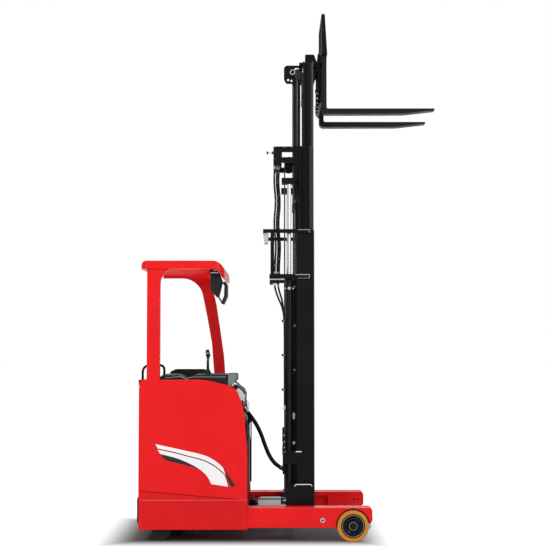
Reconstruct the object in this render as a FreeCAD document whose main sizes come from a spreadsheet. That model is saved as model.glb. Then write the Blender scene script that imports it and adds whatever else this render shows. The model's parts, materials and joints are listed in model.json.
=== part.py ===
import FreeCAD, Part
import math
import os
import re
import Sketcher

# Stand-on electric reach truck with a three-stage mast.
# Millimetres. +X points forward, along the forks, +Y to the truck's left, +Z up.
# The origin is on the floor, below the middle of the whole truck.

VECTOR = FreeCAD.Vector

# ---------------------------------------------------------------- driving dimensions
DIMENSIONS = {
    # body
    "rear_place": (-1190, "rear face of the body"),
    "body_length": (866, "rear face to front face"),
    "body_half": (600, "centre plane to side face"),
    "body_base": (100, "floor to the lower edge of the body"),
    "body_top": (1288, "floor to the top of the side covers"),
    "skirt_wall": (15, "plate thickness of the lower skirts"),
    "cover_wall": (8, "thickness of the side covers"),
    "shell_wall": (5, "sheet thickness of the inner panels"),
    "bulkhead_wall": (12, "thickness of the bulkhead and the battery tray"),
    "deck_wall": (14, "thickness of the platform and the deck"),
    "panel_drop": (8, "top of the side covers to the top of the inner panels"),
    "edge_round": (5, "rounding of the covers' outer edges"),
    "seam_rear": (405, "height of the seam at the rear"),
    "seam_front": (329, "height of the seam at the front"),
    "seam_gap": (3, "open joint between skirt and cover"),
    "column_reach": (440, "rear face to the front wall of the operator's bay"),
    "bay_edge": (20, "centre plane to the bay's inner wall"),
    "floor_height": (230, "floor to the operator's platform"),
    "bay_wall": (40, "thickness of the bay's outer wall"),
    "bay_wall_top": (1000, "height of the bay's outer wall"),
    "mat_wall": (8, "thickness of the platform's mat"),
    "tray_height": (330, "floor to the underside of the battery tray"),
    "battery_top": (925, "floor to the top of the battery"),
    "front_half": (560, "centre plane to the edge of the front panel"),
    "front_inset": (5, "front face of the body to the front panel"),
    "front_top": (932, "floor to the top of the front panel"),
    "step_gap": (6, "general clearance between moving pieces"),
    "seat_gap": (0.3, "clearance of guided and seated pieces"),
    "shaft_gap": (0.05, "clearance of a shaft in its bore"),
    # legs and wheels
    "leg_reach": (993, "front face of the body to the front end of the legs"),
    "leg_base": (113, "floor to the underside of a leg"),
    "leg_top": (272, "floor to the top of a leg"),
    "leg_width": (140, "width of a leg"),
    "leg_tail": (150, "length of leg inside the body"),
    "rail_depth": (42, "depth of the roller channel in a leg"),
    "rail_height": (90, "height of the roller channel in a leg"),
    "axle_setback": (154, "front end of the legs to the load wheel axle"),
    "load_radius": (127, "radius of the load wheel"),
    "load_width": (84, "width of the load wheel"),
    "load_rim": (96, "radius of the load wheel's hub"),
    "load_shaft": (20, "radius of the load wheel's axle"),
    "arch_gap": (11, "open space round the load wheel"),
    "drive_setback": (233, "rear face of the body to the drive wheel axle"),
    "drive_offset": (165, "centre plane to the drive wheel"),
    "drive_radius": (171.5, "radius of the drive wheel"),
    "drive_width": (94, "width of the drive wheel"),
    "drive_rim": (120, "radius of the drive wheel's hub"),
    "drive_shaft": (25, "radius of the drive wheel's axle"),
    "motor_radius": (120, "radius of the drive motor"),
    "motor_height": (368, "deck to the top of the drive motor"),
    "deck_height": (392, "underside of the drive unit's mounting plate"),
    "caster_setback": (172, "rear face of the body to the caster axle"),
    "caster_trail": (30, "caster axle to swivel axis"),
    "caster_inset": (138, "side face of the body to the caster"),
    "caster_radius": (75, "radius of the caster wheels"),
    "caster_width": (34, "width of one caster wheel"),
    "caster_shaft": (9, "radius of the caster's axle"),
    "swivel_radius": (12, "radius of the caster's swivel pin"),
    # overhead guard
    "guard_top": (2240, "floor to the top of the overhead guard"),
    "guard_band": (66, "height of the guard's frame"),
    "guard_tail": (7, "rear face of the body to the guard's rear end"),
    "guard_setback": (188, "front face of the body to the guard's front end"),
    "guard_lip": (135, "depth of the guard's curved front lip"),
    "lip_wall": (26, "thickness of the guard's front lip"),
    "guard_rail": (60, "width of the guard's side rails"),
    "bar_width": (30, "width of the guard's cross bars"),
    "post_setback": (58, "rear face of the body to the rear post"),
    "rear_post_length": (105, "length of the rear post"),
    "post_width": (60, "width of the guard's posts"),
    # reach carriage and outer mast
    "mast_gap": (394, "front face of the body to the outer mast"),
    "channel_depth": (145, "length of the outer channel's section"),
    "outer_wall": (14, "thickness of the outer channel"),
    "outer_reach": (65, "width of the outer channel's section"),
    "side_plate": (29, "thickness of the reach carriage's side plates"),
    "carriage_tail": (266, "rear face of the outer mast to the rear end of its side plates"),
    "mast_foot": (120, "floor to the foot of the mast stages"),
    "outer_top": (2500, "floor to the top of the outer mast"),
    "beam_height": (90, "height of the bottom beam"),
    "beam_setback": (110, "rear face of the outer mast to the rear of the bottom beam"),
    "beam_depth": (52, "length of the bottom beam"),
    "reach_stroke": (240, "travel of the mast each way from its place at rest"),
    "ram_offset": (70, "centre plane to the reach cylinder"),
    "ram_height": (165, "floor to the reach cylinder's axis"),
    "ram_radius": (28, "radius of the reach cylinder's barrel"),
    "ram_bore": (22, "radius of the reach cylinder's bore"),
    "ram_rod": (14, "radius of the reach cylinder's rod"),
    "ram_tail": (130, "rear end of the reach cylinder to the bulkhead"),
    "guard_plate": (14, "thickness of the mast guard's arms"),
    "guard_bar": (24, "length of the mast guard's cross bars"),
    # middle and inner mast
    "stage_step": (8, "front shift and clearance between stages"),
    "roller_side": (14, "outer web to the middle channel's flange"),
    "middle_depth": (101, "length of the middle channel's section"),
    "inner_shift": (36, "rear face of the middle mast to the inner mast"),
    "inner_depth": (85, "length of the inner channel's section"),
    "stage_wall": (12, "thickness of the middle and inner channels"),
    "flange_out": (54, "web centre to the outer edge of a flange"),
    "flange_in": (46, "web centre to the inner edge of a flange"),
    "lift_rest": (700, "height by which each stage is raised"),
    "middle_extra": (5, "middle mast above the outer mast, lowered"),
    "inner_extra": (13, "inner mast above the middle mast, lowered"),
    # lift cylinders
    "lift_setback": (60, "rear face of the outer mast to the lift cylinders"),
    "lift_inset": (50, "side face of the outer channel to the lift cylinder"),
    "lift_radius": (28, "radius of the lift cylinder's barrel"),
    "lift_bore": (22, "radius of the lift cylinder's bore"),
    "lift_rod": (17, "radius of the lift cylinder's rod"),
    "lift_drop": (366, "top of the outer mast to the top of the lift barrels"),
    "gland_height": (40, "length of a cylinder's gland"),
    "crosshead_drop": (320, "top of the middle mast to the underside of the crosshead"),
    "crosshead_height": (50, "height of the crosshead"),
    "frame_drop": (135, "top of the middle mast to the lower edge of its top frame"),
    "frame_height": (134, "height of the middle mast's top frame"),
    "frame_tail": (190, "rear face of the outer mast to the rear of the top frame"),
    "frame_wall": (20, "thickness of the top frame's rear beam"),
    # stage chains
    "stage_offset": (123, "middle web to the stage chains"),
    "stage_setback": (57, "rear face of the outer mast to the stage pulleys"),
    "stage_radius": (33, "radius of the stage pulleys"),
    "flange_step": (8, "height of a pulley's flanges"),
    # free lift
    "free_setback": (42, "rear face of the inner mast to the free-lift cylinders"),
    "free_inset": (112, "inner web to the free-lift cylinders"),
    "free_radius": (25, "radius of the free-lift barrel"),
    "free_bore": (22.7, "radius of the free-lift bore"),
    "free_rod": (21, "radius of the free-lift rod"),
    "free_length": (1240, "length of the free-lift barrel with its seat"),
    "wheel_drop": (76, "top of the inner mast to the axle of the chain wheels"),
    "chain_radius": (34, "radius of the chain wheels"),
    "chain_width": (22, "width of a lift chain"),
    "chain_depth": (10, "thickness of a lift chain"),
    "shelf_height": (40, "height of the inner mast's foot beam"),
    # fork carriage
    "carriage_drop": (352, "top of the inner mast to the underside of the fork carriage"),
    "carriage_height": (434, "height of the fork carriage"),
    "carriage_wall": (22, "thickness of the carriage's side plates"),
    "hinge_drop": (13, "top of the inner mast to the tilt hinge"),
    "hinge_reach": (31, "front face of the inner mast to the tilt hinge"),
    "pin_radius": (14, "radius of the tilt hinge pins"),
    "shank_reach": (107, "front face of the inner mast to the front of the fork shanks"),
    "shank_depth": (40, "thickness of the fork shanks"),
    "shank_height": (447, "top of the fork blades to the top of the shanks"),
    "fork_drop": (53, "underside of the fork carriage to the top of the fork blades"),
    "fork_length": (890, "length of the fork blades"),
    "fork_heel": (45, "thickness of a fork blade at the heel"),
    "fork_tip": (14, "thickness of a fork blade at the tip"),
    "fork_width": (100, "width of a fork"),
    "fork_offset": (320, "centre plane to the middle of a fork"),
    "bar_half": (372, "centre plane to the end of a fork bar"),
    "low_bar_height": (80, "height of the lower fork bar"),
    "high_bar_height": (70, "height of the upper fork bar"),
    "hook_depth": (14, "thickness of the fork bars"),
    "tilt_depth": (16, "thickness of the tilt frame"),
    "tilt_post": (66, "width of the tilt frame's posts"),
    "guide_height": (32, "height of the side-shift guides"),
    "backrest_height": (356, "height of the load backrest above the shanks"),
    "backrest_half": (400, "centre plane to the backrest's edge"),
    "backrest_depth": (36, "thickness of the load backrest"),
    # hoses
    "hose_radius": (12, "radius of the hoses to the mast"),
    "pipe_radius": (8, "radius of the hoses and pipes on the mast"),
}

# Places that follow from the dimensions above, each written once.
PLACES = {
    "body_front": "rear_place + body_length",
    "bay_front": "rear_place + column_reach",
    "front_face": "body_front - front_inset",
    "panel_top": "body_top - panel_drop",
    "skirt_inside": "body_half - skirt_wall",
    "cover_inside": "body_half - cover_wall",
    "leg_outside": "body_half - skirt_wall",
    "leg_inside": "leg_outside - leg_width",
    "leg_middle": "(leg_base + leg_top) / 2",
    "leg_rear": "body_front - leg_tail",
    "leg_front": "body_front + leg_reach",
    "load_axle": "leg_front - axle_setback",
    "tray_top": "tray_height + bulkhead_wall",
    "deck_top": "deck_height + deck_wall",
    "drive_axle": "rear_place + drive_setback",
    "caster_axle": "rear_place + caster_setback",
    "caster_offset": "body_half - caster_inset",
    "swivel_place": "caster_axle + caster_trail",
    "guard_base": "guard_top - guard_band",
    "guard_rear": "rear_place + guard_tail",
    "guard_front": "body_front - guard_setback",
    "rear_post_place": "rear_place + post_setback",
    "mast_rear": "body_front + mast_gap",
    "mast_front": "mast_rear + channel_depth",
    "plate_outside": "leg_inside - step_gap",
    "outer_half": "plate_outside - side_plate",
    "side_rear": "mast_rear - carriage_tail",
    "beam_rear": "mast_rear - beam_setback",
    "beam_front": "beam_rear + beam_depth",
    "beam_top": "mast_foot + beam_height",
    "ram_front": "beam_rear - reach_stroke - step_gap",
    "ram_rear": "bay_front - ram_tail",
    "upper_bar": "outer_top - 22",
    "lower_bar": "outer_top - 396",
    "middle_rear": "mast_rear + outer_wall + stage_step",
    "middle_web": "outer_half - outer_wall - roller_side - flange_out",
    "middle_foot": "mast_foot + lift_rest",
    "middle_top": "outer_top + middle_extra + lift_rest",
    "inner_rear": "middle_rear + inner_shift",
    "inner_front": "inner_rear + inner_depth",
    "inner_web": "middle_web - stage_wall / 2 - step_gap - flange_out",
    "inner_foot": "middle_foot + lift_rest",
    "inner_top": "middle_top + inner_extra + lift_rest",
    "lift_place": "mast_rear - lift_setback",
    "lift_offset": "outer_half - lift_inset",
    "lift_top": "outer_top - lift_drop",
    "crosshead_base": "middle_top - crosshead_drop",
    "crosshead_top": "crosshead_base + crosshead_height",
    "frame_base": "middle_top - frame_drop",
    "frame_top": "frame_base + frame_height",
    "frame_rear": "mast_rear - frame_tail",
    "frame_inside": "middle_web - stage_wall / 2 - 20",
    "frame_outside": "middle_web - 3",
    "stage_place": "mast_rear - stage_setback",
    "stage_chain": "middle_web - stage_offset",
    "pulley_height": "frame_base + 21",
    "free_place": "inner_rear - free_setback",
    "free_offset": "inner_web - free_inset",
    "free_top": "inner_foot + free_length",
    "wheel_place": "inner_top - wheel_drop",
    "shelf_top": "inner_foot + shelf_height",
    "carriage_half": "inner_web - flange_in - step_gap - 4",
    "carriage_base": "inner_top - carriage_drop",
    "carriage_top": "carriage_base + carriage_height",
    "hinge_place": "inner_front + hinge_reach",
    "hinge_height": "inner_top - hinge_drop",
    "shank_front": "inner_front + shank_reach",
    "shank_rear": "shank_front - shank_depth",
    "fork_top": "carriage_base - fork_drop",
    "fork_base": "fork_top - fork_heel",
    "shank_top": "fork_top + shank_height",
    "fork_end": "shank_front + fork_length",
    "tilt_front": "shank_rear - hook_depth",
    "tilt_rear": "tilt_front - tilt_depth",
    "backrest_top": "shank_top + backrest_height",
    "wheel_reach": "bay_front - 175",
}
doc = FreeCAD.newDocument("reach_truck")
dims = doc.addObject("Spreadsheet::Sheet", "dims")
for row, (name, (size, meaning)) in enumerate(DIMENSIONS.items(), 1):
    dims.set(f"A{row}", meaning)
    dims.set(f"B{row}", str(size))
    dims.setAlias(f"B{row}", name)
doc.recompute()

WORD = re.compile(r"[a-z]+(?:_[a-z]+)*")
NODES = []


def linked(text):
    """The text as an expression on the sheet's cells."""
    def swap(match):
        word = match.group()
        if word in PLACES:
            return "(" + linked(PLACES[word]) + ")"
        return "dims." + word if word in DIMENSIONS else word
    return WORD.sub(swap, str(text))


def value(text):
    """The size that an expression on the sheet gives now."""
    return float(dims.evalExpression(linked(text)))


def bind(thing, **sizes):
    for field, text in sizes.items():
        thing.setExpression(field.replace("__", "."), linked(text))


def place(thing, x=0, y=0, z=0, turn=None):
    """Put a thing at x, y, z, turned first."""
    thing.Placement = FreeCAD.Placement(VECTOR(), turn or FreeCAD.Rotation())
    bind(thing, Placement__Base__x=x, Placement__Base__y=y, Placement__Base__z=z)
    return thing


def node(thing, label):
    """Name a finished sub-part."""
    doc.recompute()
    thing.Label = label
    NODES.append(thing)
    return thing


# ---------------------------------------------------------------- basic pieces
TURNS = {
    "x": FreeCAD.Rotation(VECTOR(0, 1, 0), 90),
    "y": FreeCAD.Rotation(VECTOR(1, 0, 0), -90),
    "z": FreeCAD.Rotation(),
}
SKETCH_PLANES = {"x": "YZ_Plane", "y": "XZ_Plane", "z": "XY_Plane"}


def box(name, x, y, z):
    """A block between two places along each axis."""
    thing = doc.addObject("Part::Box", name)
    bind(thing, Length=f"({x[1]}) - ({x[0]})", Width=f"({y[1]}) - ({y[0]})",
         Height=f"({z[1]}) - ({z[0]})")
    return place(thing, x[0], y[0], z[0])


def rod(name, axis, across, span, radius):
    """A round bar along an axis; across gives the places on the two other axes."""
    thing = doc.addObject("Part::Cylinder", name)
    bind(thing, Radius=radius, Height=f"({span[1]}) - ({span[0]})")
    spots = list(across)
    spots.insert("xyz".index(axis), span[0])
    return place(thing, *spots, turn=TURNS[axis])


def fuse(name, *pieces):
    thing = doc.addObject("Part::MultiFuse", name)
    thing.Shapes = list(pieces)
    thing.Refine = True
    return thing


def pair(name, *pieces):
    """Like pieces of one sub-part that don't touch each other."""
    thing = doc.addObject("Part::Compound", name)
    thing.Links = list(pieces)
    return thing


def cut(name, base, *tools):
    """The base with the tools taken out of it."""
    doc.recompute()
    before = base.Shape.Volume
    tool = tools[0] if len(tools) == 1 else fuse(name + "_tools", *tools)
    thing = doc.addObject("Part::Cut", name)
    thing.Base = base
    thing.Tool = tool
    doc.recompute()
    if thing.Shape.Volume > before - 1:
        raise ValueError(name + " removes nothing")
    return thing


def start_body(name, axis):
    """A body with an empty sketch on the plane across an axis."""
    body = doc.addObject("PartDesign::Body", name)
    role = SKETCH_PLANES[axis]
    plane = next(item for item in body.Origin.OriginFeatures if item.Role == role)
    sketch = body.newObject("Sketcher::SketchObject", name + "_sketch")
    sketch.AttachmentSupport = [(plane, "")]
    sketch.MapMode = "FlatFace"
    return body, sketch


def draw(sketch, points, first=0):
    """A closed outline of straight lines, each corner bound to its place."""
    spots = [(value(u), value(v)) for u, v in points]
    count = len(spots)
    for here, there in zip(spots, spots[1:] + spots[:1]):
        line = Part.LineSegment(VECTOR(*here, 0), VECTOR(*there, 0))
        sketch.addGeometry(line)
    for index in range(count):
        line = first + index
        following = first + (index + 1) % count
        sketch.addConstraint(Sketcher.Constraint("Coincident", line, 2, following, 1))
        for letter, kind, text, size in (("u", "DistanceX", points[index][0], spots[index][0]),
                                         ("v", "DistanceY", points[index][1], spots[index][1])):
            number = sketch.addConstraint(Sketcher.Constraint(kind, line, 1, size))
            sketch.renameConstraint(number, f"{letter}{line}")
            sketch.setExpression(f"Constraints.{letter}{line}", linked(text))
    return first + count


def plate(name, axis, outline, span, rounds=None, windows=()):
    """An outline across an axis, as thick as the span, with rounded corners.

    Across y the outline holds x and z, across x it holds y and z, and across z x and y.
    rounds gives a corner's radius by the corner's number in the outline.
    """
    body, sketch = start_body(name, axis)
    used = draw(sketch, outline)
    for window in windows:
        used = draw(sketch, window, used)
    low, high = span
    pad = body.newObject("PartDesign::Pad", name + "_pad")
    pad.Profile = sketch
    pad.Reversed = axis == "y"
    bind(pad, Length=f"({high}) - ({low})")
    sign = "-1" if axis == "y" else "1"
    bind(sketch, AttachmentOffset__Base__z=f"{sign} * ({low})")
    doc.recompute()
    round_corners(body, pad, axis, outline, rounds or {})
    return body


def round_corners(body, pad, axis, outline, rounds):
    """Fillet the upright edges of a pad at the numbered corners."""
    fixed = "xyz".index(axis)
    free = [index for index in range(3) if index != fixed]
    base = pad
    for radius in dict.fromkeys(rounds.values()):
        spots = [tuple(value(text) for text in outline[corner])
                 for corner, size in rounds.items() if size == radius]
        names = []
        for number, edge in enumerate(base.Shape.Edges, 1):
            ends = [tuple(vertex.Point) for vertex in edge.Vertexes]
            if len(ends) != 2 or abs(ends[0][fixed] - ends[1][fixed]) < 1e-6:
                continue
            for spot in spots:
                if all(abs(end[free[0]] - spot[0]) < 1e-3 and abs(end[free[1]] - spot[1]) < 1e-3
                       for end in ends):
                    names.append(f"Edge{number}")
        fillet = body.newObject("PartDesign::Fillet", f"{body.Name}_round")
        fillet.Base = (base, names)
        bind(fillet, Radius=radius)
        doc.recompute()
        base = fillet
    body.Tip = base


def turned(name, axis, centre, outline):
    """A solid of revolution; the outline holds radius and place along the axis."""
    body, sketch = start_body(name, "y")
    draw(sketch, outline)
    revolution = body.newObject("PartDesign::Revolution", name + "_turn")
    revolution.Profile = sketch
    revolution.ReferenceAxis = (sketch, ["V_Axis"])
    revolution.Angle = 360
    return place(body, *centre, turn=TURNS[axis])


def across(side, near, far):
    """The span between two distances from the centre plane, on one side."""
    return (f"-({far})", f"-({near})") if side < 0 else (near, far)


def offset(side, distance):
    return f"-({distance})" if side < 0 else distance


SIDES = {"right": -1, "left": 1}


def soften(body, axis, spot, radius):
    """Round every edge of a body that lies in the plane at a place along an axis."""
    base = body.Tip
    level = value(spot)
    low, high = axis.upper() + "Min", axis.upper() + "Max"
    names = [f"Edge{number}" for number, edge in enumerate(base.Shape.Edges, 1)
             if abs(getattr(edge.BoundBox, low) - level) < 0.01
             and abs(getattr(edge.BoundBox, high) - level) < 0.01]
    fillet = body.newObject("PartDesign::Fillet", body.Name + "_soft")
    fillet.Base = (base, names)
    bind(fillet, Radius=radius)
    doc.recompute()
    body.Tip = fillet
    return body


def common(name, first, second):
    """What two pieces share, such as a side profile and a plan outline."""
    thing = doc.addObject("Part::MultiCommon", name)
    thing.Shapes = [first, second]
    return thing


def tube_path(points):
    """Straight runs joined by tangent arcs as large as the runs allow."""
    spots = [VECTOR(*[value(text) for text in point]) for point in points]
    edges = []
    start = spots[0]
    for before, here, after in zip(spots, spots[1:], spots[2:]):
        back, ahead = before - here, after - here
        turn = math.pi - back.getAngle(ahead)
        reach = 0.45 * min(back.Length, ahead.Length)
        radius = reach / math.tan(turn / 2)
        back.normalize()
        ahead.normalize()
        entry, leave = here + back * reach, here + ahead * reach
        inward = (back + ahead).normalize()
        middle = here + inward * (radius / math.cos(turn / 2) - radius)
        edges.append(Part.LineSegment(start, entry).toShape())
        edges.append(Part.Arc(entry, middle, leave).toShape())
        start = leave
    edges.append(Part.LineSegment(start, spots[-1]).toShape())
    return Part.Wire(edges)


def tube(name, points, radius):
    """A round tube along a route of points, with large bends."""
    path = tube_path(points)
    bends = [round(edge.Curve.Radius) for edge in path.Edges if edge.Curve.TypeId == "Part::GeomCircle"]
    print(f"{name}: bend radii {bends}")
    first = path.Edges[0]
    size = value(radius)
    ring = Part.Wire(Part.makeCircle(size, first.valueAt(first.FirstParameter),
                                     first.tangentAt(first.FirstParameter)))
    shape = path.makePipeShell([ring], True, False)
    if abs(shape.Volume / (math.pi * size ** 2 * path.Length) - 1) > 0.02:
        raise ValueError(name + " is not a plain tube")
    thing = doc.addObject("Part::Feature", name)
    thing.Shape = shape
    return thing


# The route of the rear hose from the body to the mast, as x and z.
HOSE_ROUTE = [("body_front - 35", "front_top + 106"), ("body_front + 34", "front_top + 23"),
              ("body_front + 94", "front_top - 83"), ("body_front + 132", "front_top - 196"),
              ("mast_rear - 218", "mast_foot + 513"), ("mast_rear - 160", "mast_foot + 448"),
              ("mast_rear - 106", "mast_foot + 424")]


def reach_lines(name, radius):
    """The two hoses from the body to the mast, or the holes that they pass through."""
    return [tube(f"{name}_{number}", [(f"{x} + {step}", y, f"{z} + {step}") for x, z in HOSE_ROUTE],
                 radius)
            for number, (y, step) in enumerate((("72 - lift_offset", 0), ("48 - lift_offset", 8)))]


# ---------------------------------------------------------------- chassis
def chassis_frame():
    """Lower skirts, platform, decks and bulkhead, welded into one frame."""
    pieces = []
    for name, side in SIDES.items():
        near, far = across(side, "skirt_inside", "body_half")
        outline = [("rear_place", "body_base"), ("body_front", "body_base"),
                   ("body_front", "seam_front"), ("rear_place", "seam_rear")]
        skirt = plate(name + "_skirt", "y", outline, (near, far), {0: "14", 3: "3"})
        pieces.append(soften(skirt, "y", offset(side, "body_half"), "edge_round"))
    inside = ("-skirt_inside", "skirt_inside")
    pieces.append(box("rear_skirt", ("rear_place", "rear_place + skirt_wall"),
                      ("-skirt_inside", "bay_edge"), ("body_base", "seam_rear")))
    pieces.append(box("step_edge", ("rear_place", "rear_place + skirt_wall"),
                      ("bay_edge", "skirt_inside"), ("body_base", "floor_height")))
    pieces.append(box("platform", ("rear_place + skirt_wall", "bay_front"),
                      ("bay_edge", "skirt_inside"), ("floor_height - deck_wall", "floor_height")))
    pieces.append(box("platform_side", ("rear_place + skirt_wall", "bay_front"),
                      ("bay_edge", "bay_edge + bulkhead_wall"),
                      ("body_base + 20", "floor_height - deck_wall")))
    wall = box("bulkhead", ("bay_front", "bay_front + bulkhead_wall"), inside,
               ("body_base + 30", "deck_top"))
    port = rod("ram_port", "x", ("ram_offset", "ram_height"),
               ("bay_front - 10", "bay_front + bulkhead_wall + 10"), "ram_radius + seat_gap")
    pieces.append(cut("bored_bulkhead", wall, port))
    deck = box("deck", ("rear_place + skirt_wall", "bay_front"),
               ("-skirt_inside", "bay_edge"), ("deck_height", "deck_top"))
    hole = rod("deck_hole", "z", ("drive_axle", "-drive_offset"),
               ("deck_height - 10", "deck_top + 10"), "motor_radius + 4")
    pieces.append(cut("drive_deck", deck, hole))
    pieces.append(box("tray", ("bay_front + bulkhead_wall", "front_face - bulkhead_wall"), inside,
                      ("tray_height", "tray_top")))
    for name, side in SIDES.items():
        pieces.append(box(name + "_leg_wall", ("bay_front + bulkhead_wall", "leg_rear"),
                          across(side, "leg_inside", "leg_outside"), ("leg_base", "leg_top")))
    node(fuse("frame", *pieces, caster_tower()), "chassis_frame")


def caster_tower():
    """Box below the deck that carries the caster's swivel."""
    half = "60"
    body = box("tower", (f"swivel_place - {half}", f"swivel_place + {half}"),
               (f"-caster_offset - {half}", f"-caster_offset + {half}"), ("204", "deck_height"))
    bore = rod("tower_bore", "z", ("swivel_place", "-caster_offset"), ("200", "300"),
               "swivel_radius + shaft_gap")
    return cut("caster_box", body, bore)


def leg(name, side):
    """Straddle leg with the roller channel inside and the wheel arch at its end."""
    outline = [("leg_rear", "leg_base"), ("leg_front - 34", "leg_base"),
               ("leg_front", "leg_base + 60"), ("leg_front", "leg_top"), ("leg_rear", "leg_top")]
    beam = plate(name + "_beam", "y", outline, across(side, "leg_inside", "leg_outside"),
                 {1: "20", 3: "28"})
    soften(beam, "y", offset(side, "leg_outside"), "edge_round")
    rail = box(name + "_rail", ("leg_rear - 10", "load_axle - load_radius - arch_gap - 20"),
               across(side, "leg_inside - 10", "leg_inside + rail_depth"),
               ("leg_middle - rail_height / 2", "leg_middle + rail_height / 2"))
    depth = ("leg_outside - load_width - 12", "leg_outside + 10")
    arch = rod(name + "_arch", "y", ("load_axle", "load_radius"), across(side, *depth),
               "load_radius + arch_gap")
    well = box(name + "_well", ("load_axle - load_radius - arch_gap", "load_axle + load_radius + arch_gap"),
               across(side, *depth), ("leg_base - 10", "load_radius"))
    body = cut(name + "_opened", beam, rail, arch, well)
    axle = rod(name + "_axle", "y", ("load_axle", "load_radius"),
               across(side, "leg_inside + 2", "leg_outside - 9"), "load_shaft")
    node(fuse(name + "_straddle", body, axle), name + "_leg")


def load_wheel(name, side):
    """Load wheel: a polyurethane tread bonded to a turned hub."""
    low, high = across(side, "leg_outside - load_width - 3", "leg_outside - 3")
    centre = ("load_axle", 0, "load_radius")
    tyre = turned(name + "_tread", "y", centre,
                  [("load_rim", low), ("load_radius - 6", low), ("load_radius", f"({low}) + 6"),
                   ("load_radius", f"({high}) - 6"), ("load_radius - 6", high), ("load_rim", high)])
    node(tyre, name + "_load_tyre")
    face_in, face_out = (low, high) if side > 0 else (high, low)
    step = "1" if side > 0 else "-1"

    def inset(depth):
        return f"({face_out}) - {step} * {depth}"
    bore = "load_shaft + shaft_gap"
    hub = turned(name + "_hub", "y", centre,
                 [(bore, face_in), ("load_rim", face_in), ("load_rim", face_out),
                  ("load_rim - 8", face_out), ("load_rim - 14", inset(5)), ("load_rim - 22", inset(14)),
                  ("load_shaft + 28", inset(14)), ("load_shaft + 22", inset(3)),
                  ("load_shaft + 6", inset(1)), (bore, inset(1))])
    node(hub, name + "_load_hub")


def cover_outline(rear, corner):
    """Side view of a cover: the top edge and the sweeping front edge."""
    return [(rear, corner), ("body_front", "seam_front + seam_gap"), ("body_front", "body_top - 588"),
            ("body_front - 30", "body_top - 228"), ("body_front - 96", "body_top - 60"),
            ("body_front - 334", "body_top"), (f"{rear} + 6", "body_top")]


def side_covers():
    """Pressed side panels with the sweeping front edge."""
    rounds = {3: "500", 4: "120", 5: "600", 6: "24"}
    right = plate("right_panel", "y", cover_outline("rear_place", "seam_rear + seam_gap"),
                  across(-1, "cover_inside", "body_half"), rounds)
    node(soften(right, "y", "-body_half", "edge_round"), "right_side_cover")
    seam = "seam_front + (seam_rear - seam_front) * (body_length - column_reach) / body_length"
    rounds = {3: "500", 4: "120", 5: "600", 6: "12"}
    left = plate("left_panel", "y", cover_outline("bay_front", f"{seam} + seam_gap"),
                 across(1, "cover_inside", "body_half"), rounds)
    node(soften(left, "y", "body_half", "edge_round"), "left_side_cover")


def column_shell():
    """Sheet walls and lid of the drive compartment, beside the operator's bay."""
    rear, front = "rear_place", "bay_front"
    low, high = "-cover_inside", "bay_edge"
    ring = [(rear, low), (front, low), (front, high), (rear, high)]
    wall = "shell_wall"
    hole = [(f"{rear} + {wall}", f"{low} + {wall}"), (f"{front} - {wall}", f"{low} + {wall}"),
            (f"{front} - {wall}", f"{high} - {wall}"), (f"{rear} + {wall}", f"{high} - {wall}")]
    walls = plate("column", "z", ring, ("seam_rear + seam_gap", "panel_top - shell_wall"),
                  {0: "4"}, [hole])
    lid = plate("column_lid", "z", ring, ("panel_top - shell_wall", "panel_top"), {0: "4"})
    node(fuse("column_walls", walls, lid), "column_shell")


def operator_bay():
    """Outer wall of the bay, its back pad, the dash panel and the ribbed floor mat."""
    outline = [("rear_place", "floor_height"), ("bay_front", "floor_height"),
               ("bay_front", "bay_wall_top"), ("rear_place", "bay_wall_top")]
    body = plate("bay_panel", "y", outline, across(1, "body_half - bay_wall", "skirt_inside"),
                 {2: "3", 3: "90"})
    node(body, "bay_side_wall")
    pad = plate("pad", "y", [("rear_place + 60", "640"), ("bay_front - 40", "640"),
                             ("bay_front - 40", "960"), ("rear_place + 60", "960")],
                ("body_half - bay_wall - 45", "body_half - bay_wall"), dict.fromkeys(range(4), "40"))
    node(soften(pad, "y", "body_half - bay_wall - 45", "18"), "backrest_pad")
    node(box("dash", ("bay_front - shell_wall", "bay_front"),
             ("bay_edge", "body_half - bay_wall"), ("deck_top", "panel_top")), "bay_front_panel")
    rear, front = "rear_place + skirt_wall + 10", "bay_front - shell_wall - 10"
    mat = plate("mat", "z", [(rear, "bay_edge + 12"), (front, "bay_edge + 12"),
                             (front, "body_half - bay_wall - 12"), (rear, "body_half - bay_wall - 12")],
                ("floor_height", "floor_height + mat_wall - 2"), dict.fromkeys(range(4), "30"))
    ribs = [box(f"mat_rib_{number}", (f"{rear} + 24", f"{front} - 24"),
                (f"bay_edge + 40 + {number} * 40", f"bay_edge + 56 + {number} * 40"),
                ("floor_height + mat_wall - 2", "floor_height + mat_wall")) for number in range(12)]
    node(fuse("ribbed_mat", mat, *ribs), "floor_mat")


# The cowl's straight slope, from its bend to its nose.
def cowl_height(x):
    """Height of the cowl's top at a place along the truck, on its slope."""
    return f"panel_top + shaft_gap - (({x}) - (body_front - 336)) * 58 / 234"


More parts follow.
